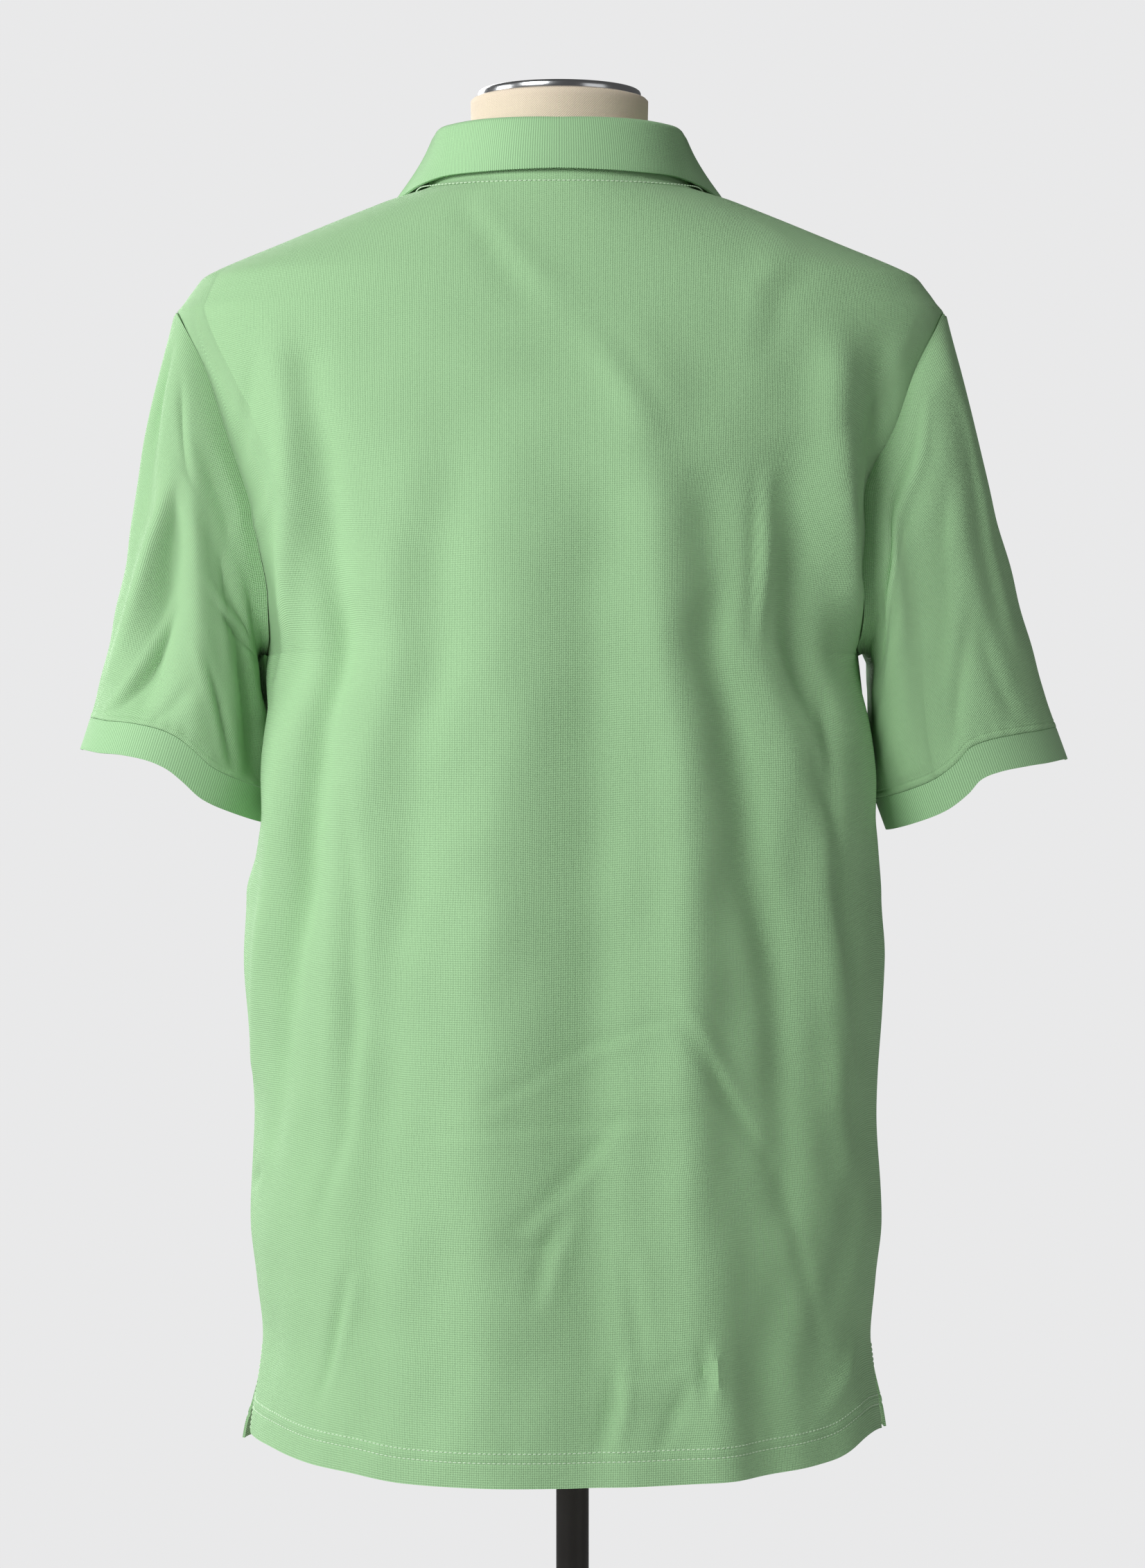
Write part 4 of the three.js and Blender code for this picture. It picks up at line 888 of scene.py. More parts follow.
def build_collar(material, pitch):
    spread = np.linspace(0, 1, 60)
    point, _ = neckline_point(spread)
    length = np.concatenate([[0], np.cumsum(np.linalg.norm(np.diff(point, axis=0), axis=-1))])
    count = int(round(length[-1] * 1.12 / pitch))
    per_rib = 4
    share = np.interp(np.linspace(0, length[-1], count * per_rib + 1), length, spread)
    left = collar_lines(share, 1)
    right = collar_lines(share, -1)
    left[0, :, 0] += SEAM
    right[0, :, 0] -= SEAM
    left[-1, :, 0] = 0
    grid = np.concatenate([right[:-1], left[::-1]])
    normals = grid_normals(grid)
    rows, profile = grid.shape[:2]
    rib = ribs(np.arange(rows) - count * per_rib, per_rib, 0.55)[:, None]
    place = np.arange(profile)[None, :]
    on_edge = (place >= profile - 1).astype(float)
    ends = clamp01(np.minimum(np.arange(rows), rows - 1 - np.arange(rows)) / 6)[:, None]
    swell = -0.4 * on_edge
    outer = grid + normals * (RIB / 2 + rib * ends + swell)[..., None]
    inner = grid - normals * (RIB / 2 - 0.3 * rib * ends + swell)[..., None]
    scallop = 0.35 * np.abs(np.sin(np.pi * (np.arange(rows) - count * per_rib) / per_rib))
    for side in (outer, inner):
        side[:, -1] += unit(side[:, -1] - side[:, -2]) * scallop[:, None]
    # Mask of the grooves between the ribs, where painted shade darkens the colour, faded at the collar's ends
    groove_shade = 1 - np.abs(np.sin(np.pi * (np.arange(rows) - count * per_rib) / per_rib))[:, None]
    piece = wall_mesh("collar", outer, inner, groove_shade=groove_shade * ends)
    return dress(piece, material, "rib", "collar")


def placket_grid(half_width, lift, columns=14, rows=60):
    slit_row = 1 + PANEL["slit_row"] / PANEL["high_rows"]
    _, z = panel_place(np.zeros(rows + 1), np.linspace(slit_row, 2, rows + 1), False)
    z[0] += 2 * SEAM
    x = np.linspace(-half_width, half_width, columns + 1)[None, :]
    z = z[:, None] + 0 * x
    turn = 180 - np.sign(x) * turn_at(np.abs(x), z)
    outer = shirt_point(turn, z, lift, fine=False)
    outer[..., 1] -= SEAM / 2
    return outer


def build_placket(name, half_width, lift, material):
    outer = placket_grid(half_width, lift)
    normals = grid_normals(outer)
    piece = wall_mesh(name, outer, outer - normals * CLOTH)
    return dress(piece, material, "pique", name)


def lathe(name, profile, sides, place=(0, 0, 0), smooth=35.0):
    """A turned solid on the vertical axis from (radius, height) pairs, closed at both ends."""
    rings = [(r, h) for r, h in profile if r > 0]
    points = [(0.0, 0.0, profile[0][1])]
    for r, h in rings:
        for k in range(sides):
            angle = 2 * math.pi * k / sides
            points.append((r * math.cos(angle), r * math.sin(angle), h))
    points.append((0.0, 0.0, profile[-1][1]))
    faces = []
    for k in range(sides):
        m = (k + 1) % sides
        faces.append((0, 1 + m, 1 + k))
        for i in range(len(rings) - 1):
            a = 1 + i * sides
            faces.append((a + k, a + m, a + sides + m, a + sides + k))
        a = 1 + (len(rings) - 1) * sides
        faces.append((a + k, a + m, len(points) - 1))
    mesh = bpy.data.meshes.new(name)
    moved = [tuple((c + p) * MM for c, p in zip(point, place)) for point in points]
    mesh.from_pydata(moved, [], faces)
    mesh.polygons.foreach_set("use_smooth", [True] * len(mesh.polygons))
    mesh.set_sharp_from_angle(angle=math.radians(smooth))
    piece = bpy.data.objects.new(name, mesh)
    bpy.context.scene.collection.objects.link(piece)
    return piece


def placed_basis(point, normal):
    """A matrix that stands a turned piece on a surface."""
    from mathutils import Matrix

    z = Vector(normal).normalized()
    x = Vector((1, 0, 0))
    x = (x - z * x.dot(z)).normalized()
    y = z.cross(x)
    basis = Matrix((x, y, z)).transposed().to_4x4()
    basis.translation = Vector(point)
    return basis


def button_place(drop):
    """Seat of a button on the placket and its outward direction, in millimetres."""
    z = NECK_FRONT_Z - drop
    seat = shirt_point(180.0, z, PLACKET["lift"] + SEAM, fine=False)
    edge = shirt_point(180 - turn_at(PLACKET["half_width"] / 3, z), z, PLACKET["lift"] + SEAM, fine=False)
    y = min(float(seat[1]), float(edge[1])) - SEAM
    normal = shirt_normal(180.0, float(z))
    return np.array([float(lean(z)), y, z]), normal


def apply_modifiers(piece):
    """Turns a piece and its modifiers into one plain mesh."""
    bpy.context.view_layer.update()
    evaluated = piece.evaluated_get(bpy.context.evaluated_depsgraph_get())
    mesh = bpy.data.meshes.new_from_object(evaluated)
    mesh.name = piece.name
    piece.modifiers.clear()
    piece.data = mesh
    return piece


def build_button(number, drop, material, thread):
    r = BUTTON["diameter"] / 2
    top = BUTTON["height"]
    profile = [(0, 0), (r * 0.8, 0), (r * 0.93, 0.3), (r, 0.9), (r, top - 0.9), (r - 0.25, top - 0.3), (r - 0.7, top)]
    profile += [(r - 1.2, top - 0.15), (r - 1.7, top - 0.7), (r - 2.4, top - 0.95), (0, top - 1.0)]
    name = f"button_{number}"
    piece = lathe(name, profile, 48, smooth=60)
    cutters = []
    for sx in (-1, 1):
        for sy in (-1, 1):
            hole = lathe("hole", [(0, -1), (0.65, -1), (0.65, top + 1), (0, top + 1)], 12, (sx * 1.25, sy * 1.25, 0))
            cut = piece.modifiers.new("hole", "BOOLEAN")
            cut.operation = "DIFFERENCE"
            cut.object = hole
            cutters.append(hole)
    apply_modifiers(piece)
    for hole in cutters:
        bpy.data.objects.remove(hole)
    point, normal = button_place(drop)
    basis = placed_basis(point * MM, normal)
    piece.data.transform(basis)
    dress(piece, material, "button", name)
    paths = []
    for sx in (-1, 1):
        bar = [(sx * 1.25, -1.25, top - 1.6), (sx * 1.25, -0.8, top - 0.75), (sx * 1.25, 0.8, top - 0.75), (sx * 1.25, 1.25, top - 1.6)]
        paths.append(np.array([(basis @ (Vector(p) * MM)) / MM for p in bar]))
    sewn = stitches(f"button_thread_{number}", paths, 0.6, 0.9, 0.3, thread)
    return dress(sewn, thread, "button")


def stitch_tree():
    """Geometry Nodes: a row of thread stitches along a curve."""
    tree = bpy.data.node_groups.get("stitch_row")
    if tree:
        return tree
    tree = bpy.data.node_groups.new("stitch_row", "GeometryNodeTree")
    face = tree.interface
    face.new_socket("Geometry", in_out="INPUT", socket_type="NodeSocketGeometry")
    for name, default in (("Pitch", 0.003), ("Stitch Length", 0.0024), ("Thread Radius", 0.0003)):
        socket = face.new_socket(name, in_out="INPUT", socket_type="NodeSocketFloat")
        socket.default_value = default
        socket.min_value = 0.00005
    face.new_socket("Material", in_out="INPUT", socket_type="NodeSocketMaterial")
    face.new_socket("Geometry", in_out="OUTPUT", socket_type="NodeSocketGeometry")
    nodes, links = tree.nodes, tree.links
    source = nodes.new("NodeGroupInput")
    target = nodes.new("NodeGroupOutput")
    spread = nodes.new("GeometryNodeCurveToPoints")
    spread.mode = "LENGTH"
    ball = nodes.new("GeometryNodeMeshIcoSphere")
    ball.inputs["Radius"].default_value = 1.0
    ball.inputs["Subdivisions"].default_value = 2
    half = nodes.new("ShaderNodeMath")
    half.operation = "MULTIPLY"
    half.inputs[1].default_value = 0.5
    scale = nodes.new("ShaderNodeCombineXYZ")
    place = nodes.new("GeometryNodeInstanceOnPoints")
    real = nodes.new("GeometryNodeRealizeInstances")
    paint = nodes.new("GeometryNodeSetMaterial")
    smooth = nodes.new("GeometryNodeSetShadeSmooth")
    links.new(source.outputs["Geometry"], spread.inputs["Curve"])
    links.new(source.outputs["Pitch"], spread.inputs["Length"])
    links.new(source.outputs["Stitch Length"], half.inputs[0])
    links.new(source.outputs["Thread Radius"], scale.inputs["X"])
    links.new(source.outputs["Thread Radius"], scale.inputs["Y"])
    links.new(half.outputs[0], scale.inputs["Z"])
    links.new(spread.outputs["Points"], place.inputs["Points"])
    links.new(spread.outputs["Rotation"], place.inputs["Rotation"])
    links.new(ball.outputs["Mesh"], place.inputs["Instance"])
    links.new(scale.outputs[0], place.inputs["Scale"])
    links.new(place.outputs["Instances"], real.inputs["Geometry"])
    links.new(real.outputs["Geometry"], smooth.inputs["Geometry"])
    links.new(smooth.outputs["Geometry"], paint.inputs["Geometry"])
    links.new(source.outputs["Material"], paint.inputs["Material"])
    links.new(paint.outputs["Geometry"], target.inputs["Geometry"])
    return tree


def stitches(name, paths, pitch, length, radius, thread):
    """Stitches along paths in millimetres, as one plain mesh."""
    curve = bpy.data.curves.new(name, "CURVE")
    curve.dimensions = "3D"
    for path in paths:
        spline = curve.splines.new("POLY")
        spline.points.add(len(path) - 1)
        flat = np.concatenate([np.asarray(path) * MM, np.ones((len(path), 1))], 1)
        spline.points.foreach_set("co", flat.ravel())
    holder = bpy.data.objects.new(name, curve)
    bpy.context.scene.collection.objects.link(holder)
    modifier = holder.modifiers.new("stitches", "NODES")
    modifier.node_group = stitch_tree()
    values = {"Pitch": pitch * MM, "Stitch Length": length * MM, "Thread Radius": radius * MM, "Material": thread}
    for item in modifier.node_group.interface.items_tree:
        if item.in_out == "INPUT" and item.name in values:
            modifier[item.identifier] = values[item.name]
    bpy.context.view_layer.update()
    evaluated = holder.evaluated_get(bpy.context.evaluated_depsgraph_get())
    mesh = bpy.data.meshes.new_from_object(evaluated)
    mesh.name = name
    bpy.data.objects.remove(holder)
    piece = bpy.data.objects.new(name, mesh)
    bpy.context.scene.collection.objects.link(piece)
    return piece


def leaned(points):
    points = np.array(points, float)
    points[..., 0] += lean(points[..., 2])
    return points


def build_seam_stitches(thread):
    """All rows of topstitching on the shirt."""
    lift = 0.12
    groups = {}
    hems = []
    for is_back in (True, False):
        share = np.linspace(-0.985, 0.985, 260)
        for above in HEM_STITCHES:
            row = (above / (UNDERARM_Z - hem_z(share * 90, is_back)))
            hems.append(leaned(panel_point(share, row, is_back, lift)))
    groups["hem_stitches"] = hems
    vents = []
    for is_back in (True, False):
        for side in (-1, 1):
            row = np.linspace(0.002, (VENT_HEIGHT + 6) / (UNDERARM_Z - 735), 30)
            share = np.full(row.shape, side * (1 - 6 / 250))
            vents.append(leaned(panel_point(share, row, is_back, lift)))
    groups["vent_stitches"] = vents
    neck = []
    for is_back in (True, False):
        limit = PANEL["neck_share"] * 0.985
        share = np.linspace(-limit, limit, 140)
        if not is_back:
            share = share[np.abs(share) > PANEL["slit_share"] + 0.012]
        top = panel_point(share, np.full(share.shape, 2.0), is_back, lift)
        below = panel_point(share, np.full(share.shape, 1.9), is_back, lift)
        outer_part = ease((np.abs(share) / PANEL["neck_share"] - 0.6) / 0.4)
        drop = lerp(NECK_ROW["back"], NECK_ROW["side"], outer_part) if is_back else NECK_ROW["front"]
        inset = unit(below - top) * np.broadcast_to(drop, share.shape)[:, None]
        path = leaned(top + inset)
        if is_back:
            neck.append(path)
        else:
            neck.extend([path[share < 0], path[share > 0]])
    groups["neck_stitches"] = neck
    rounds = []
    for side, sleeve in SLEEVES.items():
        grid, normals, _ = sleeve_grid(sleeve)
        raised = (grid + normals * lift)[::-1][:40]
        reach = np.cumsum(np.linalg.norm(np.diff(raised, axis=0), axis=-1), 0)
        reach = np.concatenate([np.zeros((1, reach.shape[1])), reach])
        ring = [
            [np.interp(CUFF_STITCHES[0], reach[:, k], raised[:, k, axis]) for axis in range(3)]
            for k in range(raised.shape[1])
        ]
        rounds.append(leaned(ring + ring[:1]))
    groups["cuff_stitches"] = rounds
    inset = 1.8
    front = placket_grid(PLACKET["half_width"] - inset, PLACKET["lift"] + lift)
    strip = [leaned(front[2:, 0]), leaned(front[2:, -1]), leaned(front[2, :])]
    box_row = 8
    strip += [leaned(front[box_row, :]), leaned(np.stack([front[2, 0], front[box_row, -1]])), leaned(np.stack([front[2, -1], front[box_row, 0]]))]
    groups["placket_stitches"] = strip
    for name, paths in groups.items():
        piece = stitches(name, paths, 2.9, 2.4, 0.42, thread)
        dress(piece, thread, "pique")


def form_rings():
    """The dress form's rings with the shoulders taken from the shirt."""
    z = np.arange(FORM_SHOULDER["from"], FORM_SHOULDER["to"] + 1, FORM_SHOULDER["step"], float)
    up = z + FORM_SHOULDER["drop"]
    shoulder = {
        "z": z,
        "w": along(SHIRT_RINGS, "z", up, "w") - FORM_SHOULDER["edge"] * (z < FORM_SHOULDER["edge_z"]),
        "back": along(SHIRT_RINGS, "z", up, "back") - FORM_SHOULDER["back"],
        "front": along(SHIRT_RINGS, "z", up, "front") - FORM_SHOULDER["front"],
        "n": np.full(z.shape, SQUARE),
    }
    return {key: np.concatenate([FORM_RINGS[key], shoulder[key], NECK_RINGS[key]]) for key in FORM_RINGS}


def build_form(material):
    rings = form_rings()
    levels = []
    for low, high in zip(rings["z"][:-1], rings["z"][1:]):
        levels.append(np.linspace(low, high, max(2, int((high - low) / 4)), endpoint=False))
    z = np.concatenate(levels + [[rings["z"][-1] - 1.2, rings["z"][-1]]])
    n = along(rings, "z", z, "n")
    turn = np.arange(160) / 160 * 360
    grid = ring_point(rings, -turn[None, :], z[:, None], n[:, None])
    centre = np.zeros(3)
    rounded = grid[-1] * np.array([0.978, 0.978, 1])
    grid[-1] = rounded
    bottom = np.repeat(np.array([[0.0, 0.0, z[0]]]), grid.shape[1], 0)
    points = np.concatenate([grid.reshape(-1, 3), [[0, 0, z[0]], [0, 0, z[-1]]]])
    points[:, 0] += lean(points[:, 2])
    columns = grid.shape[1]
    faces = []
    for i in range(len(z) - 1):
        for j in range(columns):
            k = (j + 1) % columns
            a = i * columns
            faces.append((a + j, a + k, a + columns + k, a + columns + j))
    low, high = len(points) - 2, len(points) - 1
    last = (len(z) - 1) * columns
    for j in range(columns):
        k = (j + 1) % columns
        faces.append((low, k, j))
        faces.append((high, last + j, last + k))
    mesh = bpy.data.meshes.new("form_torso")
    mesh.from_pydata((points * MM).tolist(), [], faces)
    u = np.concatenate([np.tile(turn / 360, len(z)), [0, 0]])
    v = np.concatenate([np.repeat(z, columns), [z[0], z[-1]]]) * MM
    layer = mesh.uv_layers.new(name="cloth")
    index = np.empty(len(mesh.loops), int)
    mesh.loops.foreach_get("vertex_index", index)
    girth = u[index] * 0.345
    starts = np.empty(len(mesh.polygons), int)
    mesh.polygons.foreach_get("loop_start", starts)
    totals = np.empty(len(mesh.polygons), int)
    mesh.polygons.foreach_get("loop_total", totals)
    owner = np.repeat(np.arange(len(starts)), totals)
    widest = np.zeros(len(starts))
    np.maximum.at(widest, owner, girth)
    girth = np.where((widest[owner] > 0.3) & (girth < 0.05), girth + 0.345, girth)
    layer.data.foreach_set("uv", np.stack([girth, v[index]], -1).ravel())
    mesh.polygons.foreach_set("use_smooth", [True] * len(mesh.polygons))
    mesh.set_sharp_from_angle(angle=math.radians(60))
    piece = bpy.data.objects.new("form_torso", mesh)
    bpy.context.scene.collection.objects.link(piece)
    return dress(piece, material, "linen", "form_torso")


def build_cap(material):
    r, rim = CAP["radius"], CAP["rim"]
    profile = [(0, 0), (r - 0.8, 0), (r - 0.2, 0.25), (r, 0.8)]
    profile += [(r, rim - 1.6), (r - 0.35, rim - 0.7), (r - 1.2, rim - 0.1), (r - 2.2, rim)]
    profile += [(r - 5, rim + 0.4), (r - 20, rim + 1.0), (0, rim + 1.2)]
    piece = lathe("neck_cap", profile, 128, (float(lean(CAP["z"])), 0, CAP["z"]), 50)
    return dress(piece, material, "chrome", "neck_cap")


def build_pole(material):
    low = BASE["height"] + BASE["hub_height"] + SEAM
    r = POLE["radius"]
    profile = [(0, low), (r - 0.5, low), (r, low + 0.5), (r, POLE["top"] - 0.5), (r - 0.5, POLE["top"]), (0, POLE["top"])]
    return dress(lathe("pole", profile, 64), material, "dark_metal", "pole")


def build_base(material):
    r, h, hub, up = BASE["radius"], BASE["height"], BASE["hub"], BASE["hub_height"]
    profile = [(0, 0), (r - 1.2, 0), (r - 0.3, 0.4), (r, 1.2), (r, h - 3.2), (r - 0.4, h - 1.6), (r - 1.4, h - 0.5), (r - 3, h)]
    profile += [(hub + 6, h + 1.5), (hub + 2, h + 2.2), (hub, h + 4), (hub - 4, h + up - 2)]
    profile += [(hub - 4.6, h + up - 0.7), (hub - 6, h + up), (0, h + up)]
    return dress(lathe("base", profile, 128), material, "dark_metal", "base")


# Materials


class Nodes:
    """A small helper to write a material's node tree in order."""

    def __init__(self, name):
        self.material = bpy.data.materials.new(name)
        self.material.use_nodes = True
        self.tree = self.material.node_tree
        self.shader = self.tree.nodes["Principled BSDF"]

    def add(self, kind, **values):
        node = self.tree.nodes.new(kind)
        for key, value in values.items():
            setattr(node, key, value)
        return node

    def link(self, source, target):
        self.tree.links.new(source, target)

    def math(self, operation, a, b=None):
        node = self.add("ShaderNodeMath", operation=operation)
        for socket, value in zip(node.inputs, (a, b)):
            if value is None:
                continue
            if hasattr(value, "is_output"):
                self.link(value, socket)
            else:
                socket.default_value = value
        return node.outputs[0]

    def noise(self, vector, scale, detail=2.0, roughness=0.5):
        node = self.add("ShaderNodeTexNoise")
        node.inputs["Scale"].default_value = scale
        node.inputs["Detail"].default_value = detail
        node.inputs["Roughness"].default_value = roughness
        self.link(vector, node.inputs["Vector"])
        return node.outputs["Fac"]

    def blend(self, factor, first, second):
        node = self.add("ShaderNodeMix", data_type="RGBA")
        self.link(factor, node.inputs["Factor"])
        for socket, colour in ((node.inputs[6], first), (node.inputs[7], second)):
            if hasattr(colour, "is_output"):
                self.link(colour, socket)
            else:
                socket.default_value = (*colour, 1)
        return node.outputs[2]

    def bump(self, height, strength, distance, normal=None):
        node = self.add("ShaderNodeBump")
        node.inputs["Strength"].default_value = strength
        node.inputs["Distance"].default_value = distance
        self.link(height, node.inputs["Height"])
        if normal is not None:
            self.link(normal, node.inputs["Normal"])
        return node.outputs["Normal"]

    def set(self, **values):
        for key, value in values.items():
            self.shader.inputs[key.replace("_", " ")].default_value = value


def tint(colour, factor):
    return tuple(min(1.0, c * factor) for c in colour)


def pique_material(settings):
    """Cotton pique: small raised diamonds on the cloth's own UV map, with painted shade darkening the pits between
    them.
    """
    m = Nodes("cotton_pique")
    uv = m.add("ShaderNodeUVMap", uv_map="cloth").outputs["UV"]
    place = m.add("ShaderNodeTexCoord").outputs["Object"]
    split = m.add("ShaderNodeSeparateXYZ")
    m.link(uv, split.inputs[0])
    pitch = settings.pique_pitch
    u = m.math("MULTIPLY", split.outputs["X"], 2 * math.pi / pitch)
    v = m.math("MULTIPLY", split.outputs["Y"], 2 * math.pi / (pitch * 1.25))
    rising = m.math("SINE", m.math("ADD", u, v))
    falling = m.math("SINE", m.math("SUBTRACT", u, v))
    weave = m.math("MULTIPLY", rising, falling)
    yarn = m.noise(place, 1400.0, 2.0)
    slow = m.noise(place, 7.0, 3.0)
    tone = m.blend(slow, tint(settings.cloth_colour, 0.965), tint(settings.cloth_colour, 1.035))
    # Painted shade: the cloth colour is darkened to 0.87 where the weave sinks into its pits
    pit_shade_mix = m.math("MULTIPLY", m.math("ADD", weave, 1.0), 0.5)
    colour = m.blend(pit_shade_mix, tint(settings.cloth_colour, 0.87), tone)
    m.link(colour, m.shader.inputs["Base Color"])
    grain = m.bump(yarn, 0.25, 0.0003)
    m.link(m.bump(weave, 0.65, 0.0004, grain), m.shader.inputs["Normal"])
    m.set(Roughness=0.72, Sheen_Weight=0.14, Sheen_Roughness=0.45)
    m.shader.inputs["Specular IOR Level"].default_value = 0.38
    m.shader.inputs["Sheen Tint"].default_value = (0.85, 0.97, 0.82, 1)
    return m.material


def rib_material(settings):
    """Rib knit: the ribs are real, with knit rows across them and painted shade darkening the grooves between them."""
    m = Nodes("rib_knit")
    uv = m.add("ShaderNodeUVMap", uv_map="cloth").outputs["UV"]
    place = m.add("ShaderNodeTexCoord").outputs["Object"]
    split = m.add("ShaderNodeSeparateXYZ")
    m.link(uv, split.inputs[0])
    rows = m.math("SINE", m.math("MULTIPLY", split.outputs["X"], 2 * math.pi / 0.0011))
    yarn = m.noise(place, 1200.0, 2.0)
    slow = m.noise(place, 9.0, 2.0)
    tone = m.blend(slow, tint(settings.rib_colour, 0.96), tint(settings.rib_colour, 1.05))
    groove_shade = m.add("ShaderNodeAttribute", attribute_name="groove_shade").outputs["Fac"]
    # Painted shade: the grooves between the ribs are darkened to 0.55 of the rib colour
    m.link(m.blend(groove_shade, tone, tint(settings.rib_colour, 0.55)), m.shader.inputs["Base Color"])
    grain = m.bump(yarn, 0.3, 0.0003)
    m.link(m.bump(rows, 0.18, 0.0002, grain), m.shader.inputs["Normal"])
    m.set(Roughness=0.9, Sheen_Weight=0.25, Sheen_Roughness=0.45)
    m.shader.inputs["Specular IOR Level"].default_value = 0.2
    m.shader.inputs["Sheen Tint"].default_value = (0.85, 0.97, 0.82, 1)
    return m.material


def thread_material(settings):
    m = Nodes("sewing_thread")
    place = m.add("ShaderNodeTexCoord").outputs["Object"]
    fibre = m.noise(place, 2600.0, 1.0)
    m.link(m.blend(fibre, tint(settings.thread_colour, 0.9), settings.thread_colour), m.shader.inputs["Base Color"])
    m.link(m.bump(fibre, 0.3, 0.0001), m.shader.inputs["Normal"])
    m.set(Roughness=0.55, Sheen_Weight=0.2)
    return m.material


def button_material(settings):
    m = Nodes("button_resin")
    place = m.add("ShaderNodeTexCoord").outputs["Object"]
    cloud = m.noise(place, 260.0, 4.0, 0.6)
    m.link(m.blend(cloud, tint(settings.button_colour, 0.9), settings.button_colour), m.shader.inputs["Base Color"])
    m.link(m.bump(cloud, 0.06, 0.0002), m.shader.inputs["Normal"])
    m.set(Roughness=0.32, Coat_Weight=0.3, Coat_Roughness=0.2)
    return m.material


def linen_material(settings):
    """Linen cover: uneven warp and weft yarns on the form's UV map."""
    m = Nodes("linen_cover")
    uv = m.add("ShaderNodeUVMap", uv_map="cloth").outputs["UV"]
    split = m.add("ShaderNodeSeparateXYZ")
    m.link(uv, split.inputs[0])
    pitch = settings.linen_pitch
    stretch = m.add("ShaderNodeMapping")
    stretch.inputs["Scale"].default_value = (260, 14, 1)
    m.link(uv, stretch.inputs["Vector"])
    warp_tone = m.noise(stretch.outputs[0], 4.0, 3.0)
    turned = m.add("ShaderNodeMapping")
    turned.inputs["Scale"].default_value = (14, 260, 1)
    m.link(uv, turned.inputs["Vector"])
    weft_tone = m.noise(turned.outputs[0], 4.0, 3.0)
    warp = m.math("SINE", m.math("MULTIPLY", split.outputs["X"], 2 * math.pi / pitch))
    weft = m.math("SINE", m.math("MULTIPLY", split.outputs["Y"], 2 * math.pi / pitch))
    weave = m.math("MULTIPLY", warp, weft)
    first = m.blend(warp_tone, tint(settings.linen_colour, 0.84), tint(settings.linen_colour, 1.06))
    second = m.blend(weft_tone, tint(settings.linen_colour, 0.87), tint(settings.linen_colour, 1.04))
    half = m.math("MULTIPLY", m.math("ADD", weave, 1.0), 0.5)
    m.link(m.blend(half, first, second), m.shader.inputs["Base Color"])
    m.link(m.bump(weave, 0.55, 0.0004), m.shader.inputs["Normal"])
    m.set(Roughness=0.9, Sheen_Weight=0.15)
    return m.material


def chrome_material():
    m = Nodes("polished_chrome")
    place = m.add("ShaderNodeTexCoord").outputs["Object"]
    stretch = m.add("ShaderNodeMapping")
    stretch.inputs["Scale"].default_value = (40, 40, 900)
    m.link(place, stretch.inputs["Vector"])
    scratch = m.noise(stretch.outputs[0], 6.0, 3.0)
    m.link(m.math("ADD", m.math("MULTIPLY", scratch, 0.08), 0.17), m.shader.inputs["Roughness"])
    m.link(m.bump(scratch, 0.03, 0.0002), m.shader.inputs["Normal"])
    m.set(Base_Color=(0.5, 0.51, 0.52, 1), Metallic=1.0)
    return m.material


def dark_metal_material(settings):
    m = Nodes("dark_enamel")
    place = m.add("ShaderNodeTexCoord").outputs["Object"]
    peel = m.noise(place, 240.0, 3.0)
    rub = m.noise(place, 12.0, 4.0, 0.6)
    m.link(m.blend(rub, tint(settings.metal_colour, 0.8), tint(settings.metal_colour, 1.35)), m.shader.inputs["Base Color"])
    m.link(m.math("ADD", m.math("MULTIPLY", rub, 0.14), 0.26), m.shader.inputs["Roughness"])
    m.link(m.bump(peel, 0.08, 0.0003), m.shader.inputs["Normal"])
    m.set(Metallic=0.35, Coat_Weight=0.25, Coat_Roughness=0.25)
    return m.material


def plain_material(name, colour, roughness=0.9):
    m = Nodes(name)
    m.set(Base_Color=(*colour, 1), Roughness=roughness)
    return m.material


def material(name, make):
    """A material by name, made the first time that it is asked for."""
    return bpy.data.materials.get(name) or make()


# Settings


class POLO_PG_cloth(bpy.types.PropertyGroup):
    """Colours and knit sizes of the shirt."""

    cloth_colour: bpy.props.FloatVectorProperty(
        name="Cloth", description="Colour of the cotton pique", subtype="COLOR", size=3, min=0, max=1,
        default=(0.42, 0.71, 0.375),
    )
    rib_colour: bpy.props.FloatVectorProperty(
        name="Rib", description="Colour of the collar's and cuffs' rib knit", subtype="COLOR", size=3, min=0, max=1,
        default=(0.425, 0.725, 0.39),
    )
    thread_colour: bpy.props.FloatVectorProperty(
        name="Thread", description="Colour of the sewing thread", subtype="COLOR", size=3, min=0, max=1,
        default=(0.64, 0.85, 0.59),
    )
    button_colour: bpy.props.FloatVectorProperty(
        name="Buttons", description="Colour of the placket buttons", subtype="COLOR", size=3, min=0, max=1,
        default=(0.62, 0.72, 0.56),
    )
    pique_pitch: bpy.props.FloatProperty(
        name="Pique pitch", description="Width of one raised diamond of the pique", unit="LENGTH",
        default=0.0021, min=0.0005, max=0.01,
    )
    rib_pitch: bpy.props.FloatProperty(
        name="Rib pitch", description="Width of one rib of the collar and cuffs", unit="LENGTH",
        default=0.0015, min=0.0008, max=0.01,
    )


class POLO_PG_form(bpy.types.PropertyGroup):
    """Colours of the dress form and its stand."""

    linen_colour: bpy.props.FloatVectorProperty(
        name="Linen", description="Colour of the linen cover", subtype="COLOR", size=3, min=0, max=1,
        default=(0.96, 0.81, 0.63),
    )
    metal_colour: bpy.props.FloatVectorProperty(
        name="Stand", description="Colour of the pole and the base", subtype="COLOR", size=3, min=0, max=1,
        default=(0.036, 0.032, 0.030),
    )
    linen_pitch: bpy.props.FloatProperty(
        name="Linen pitch", description="Width of two neighbouring yarns of the linen", unit="LENGTH",
        default=0.0014, min=0.0005, max=0.01,
    )


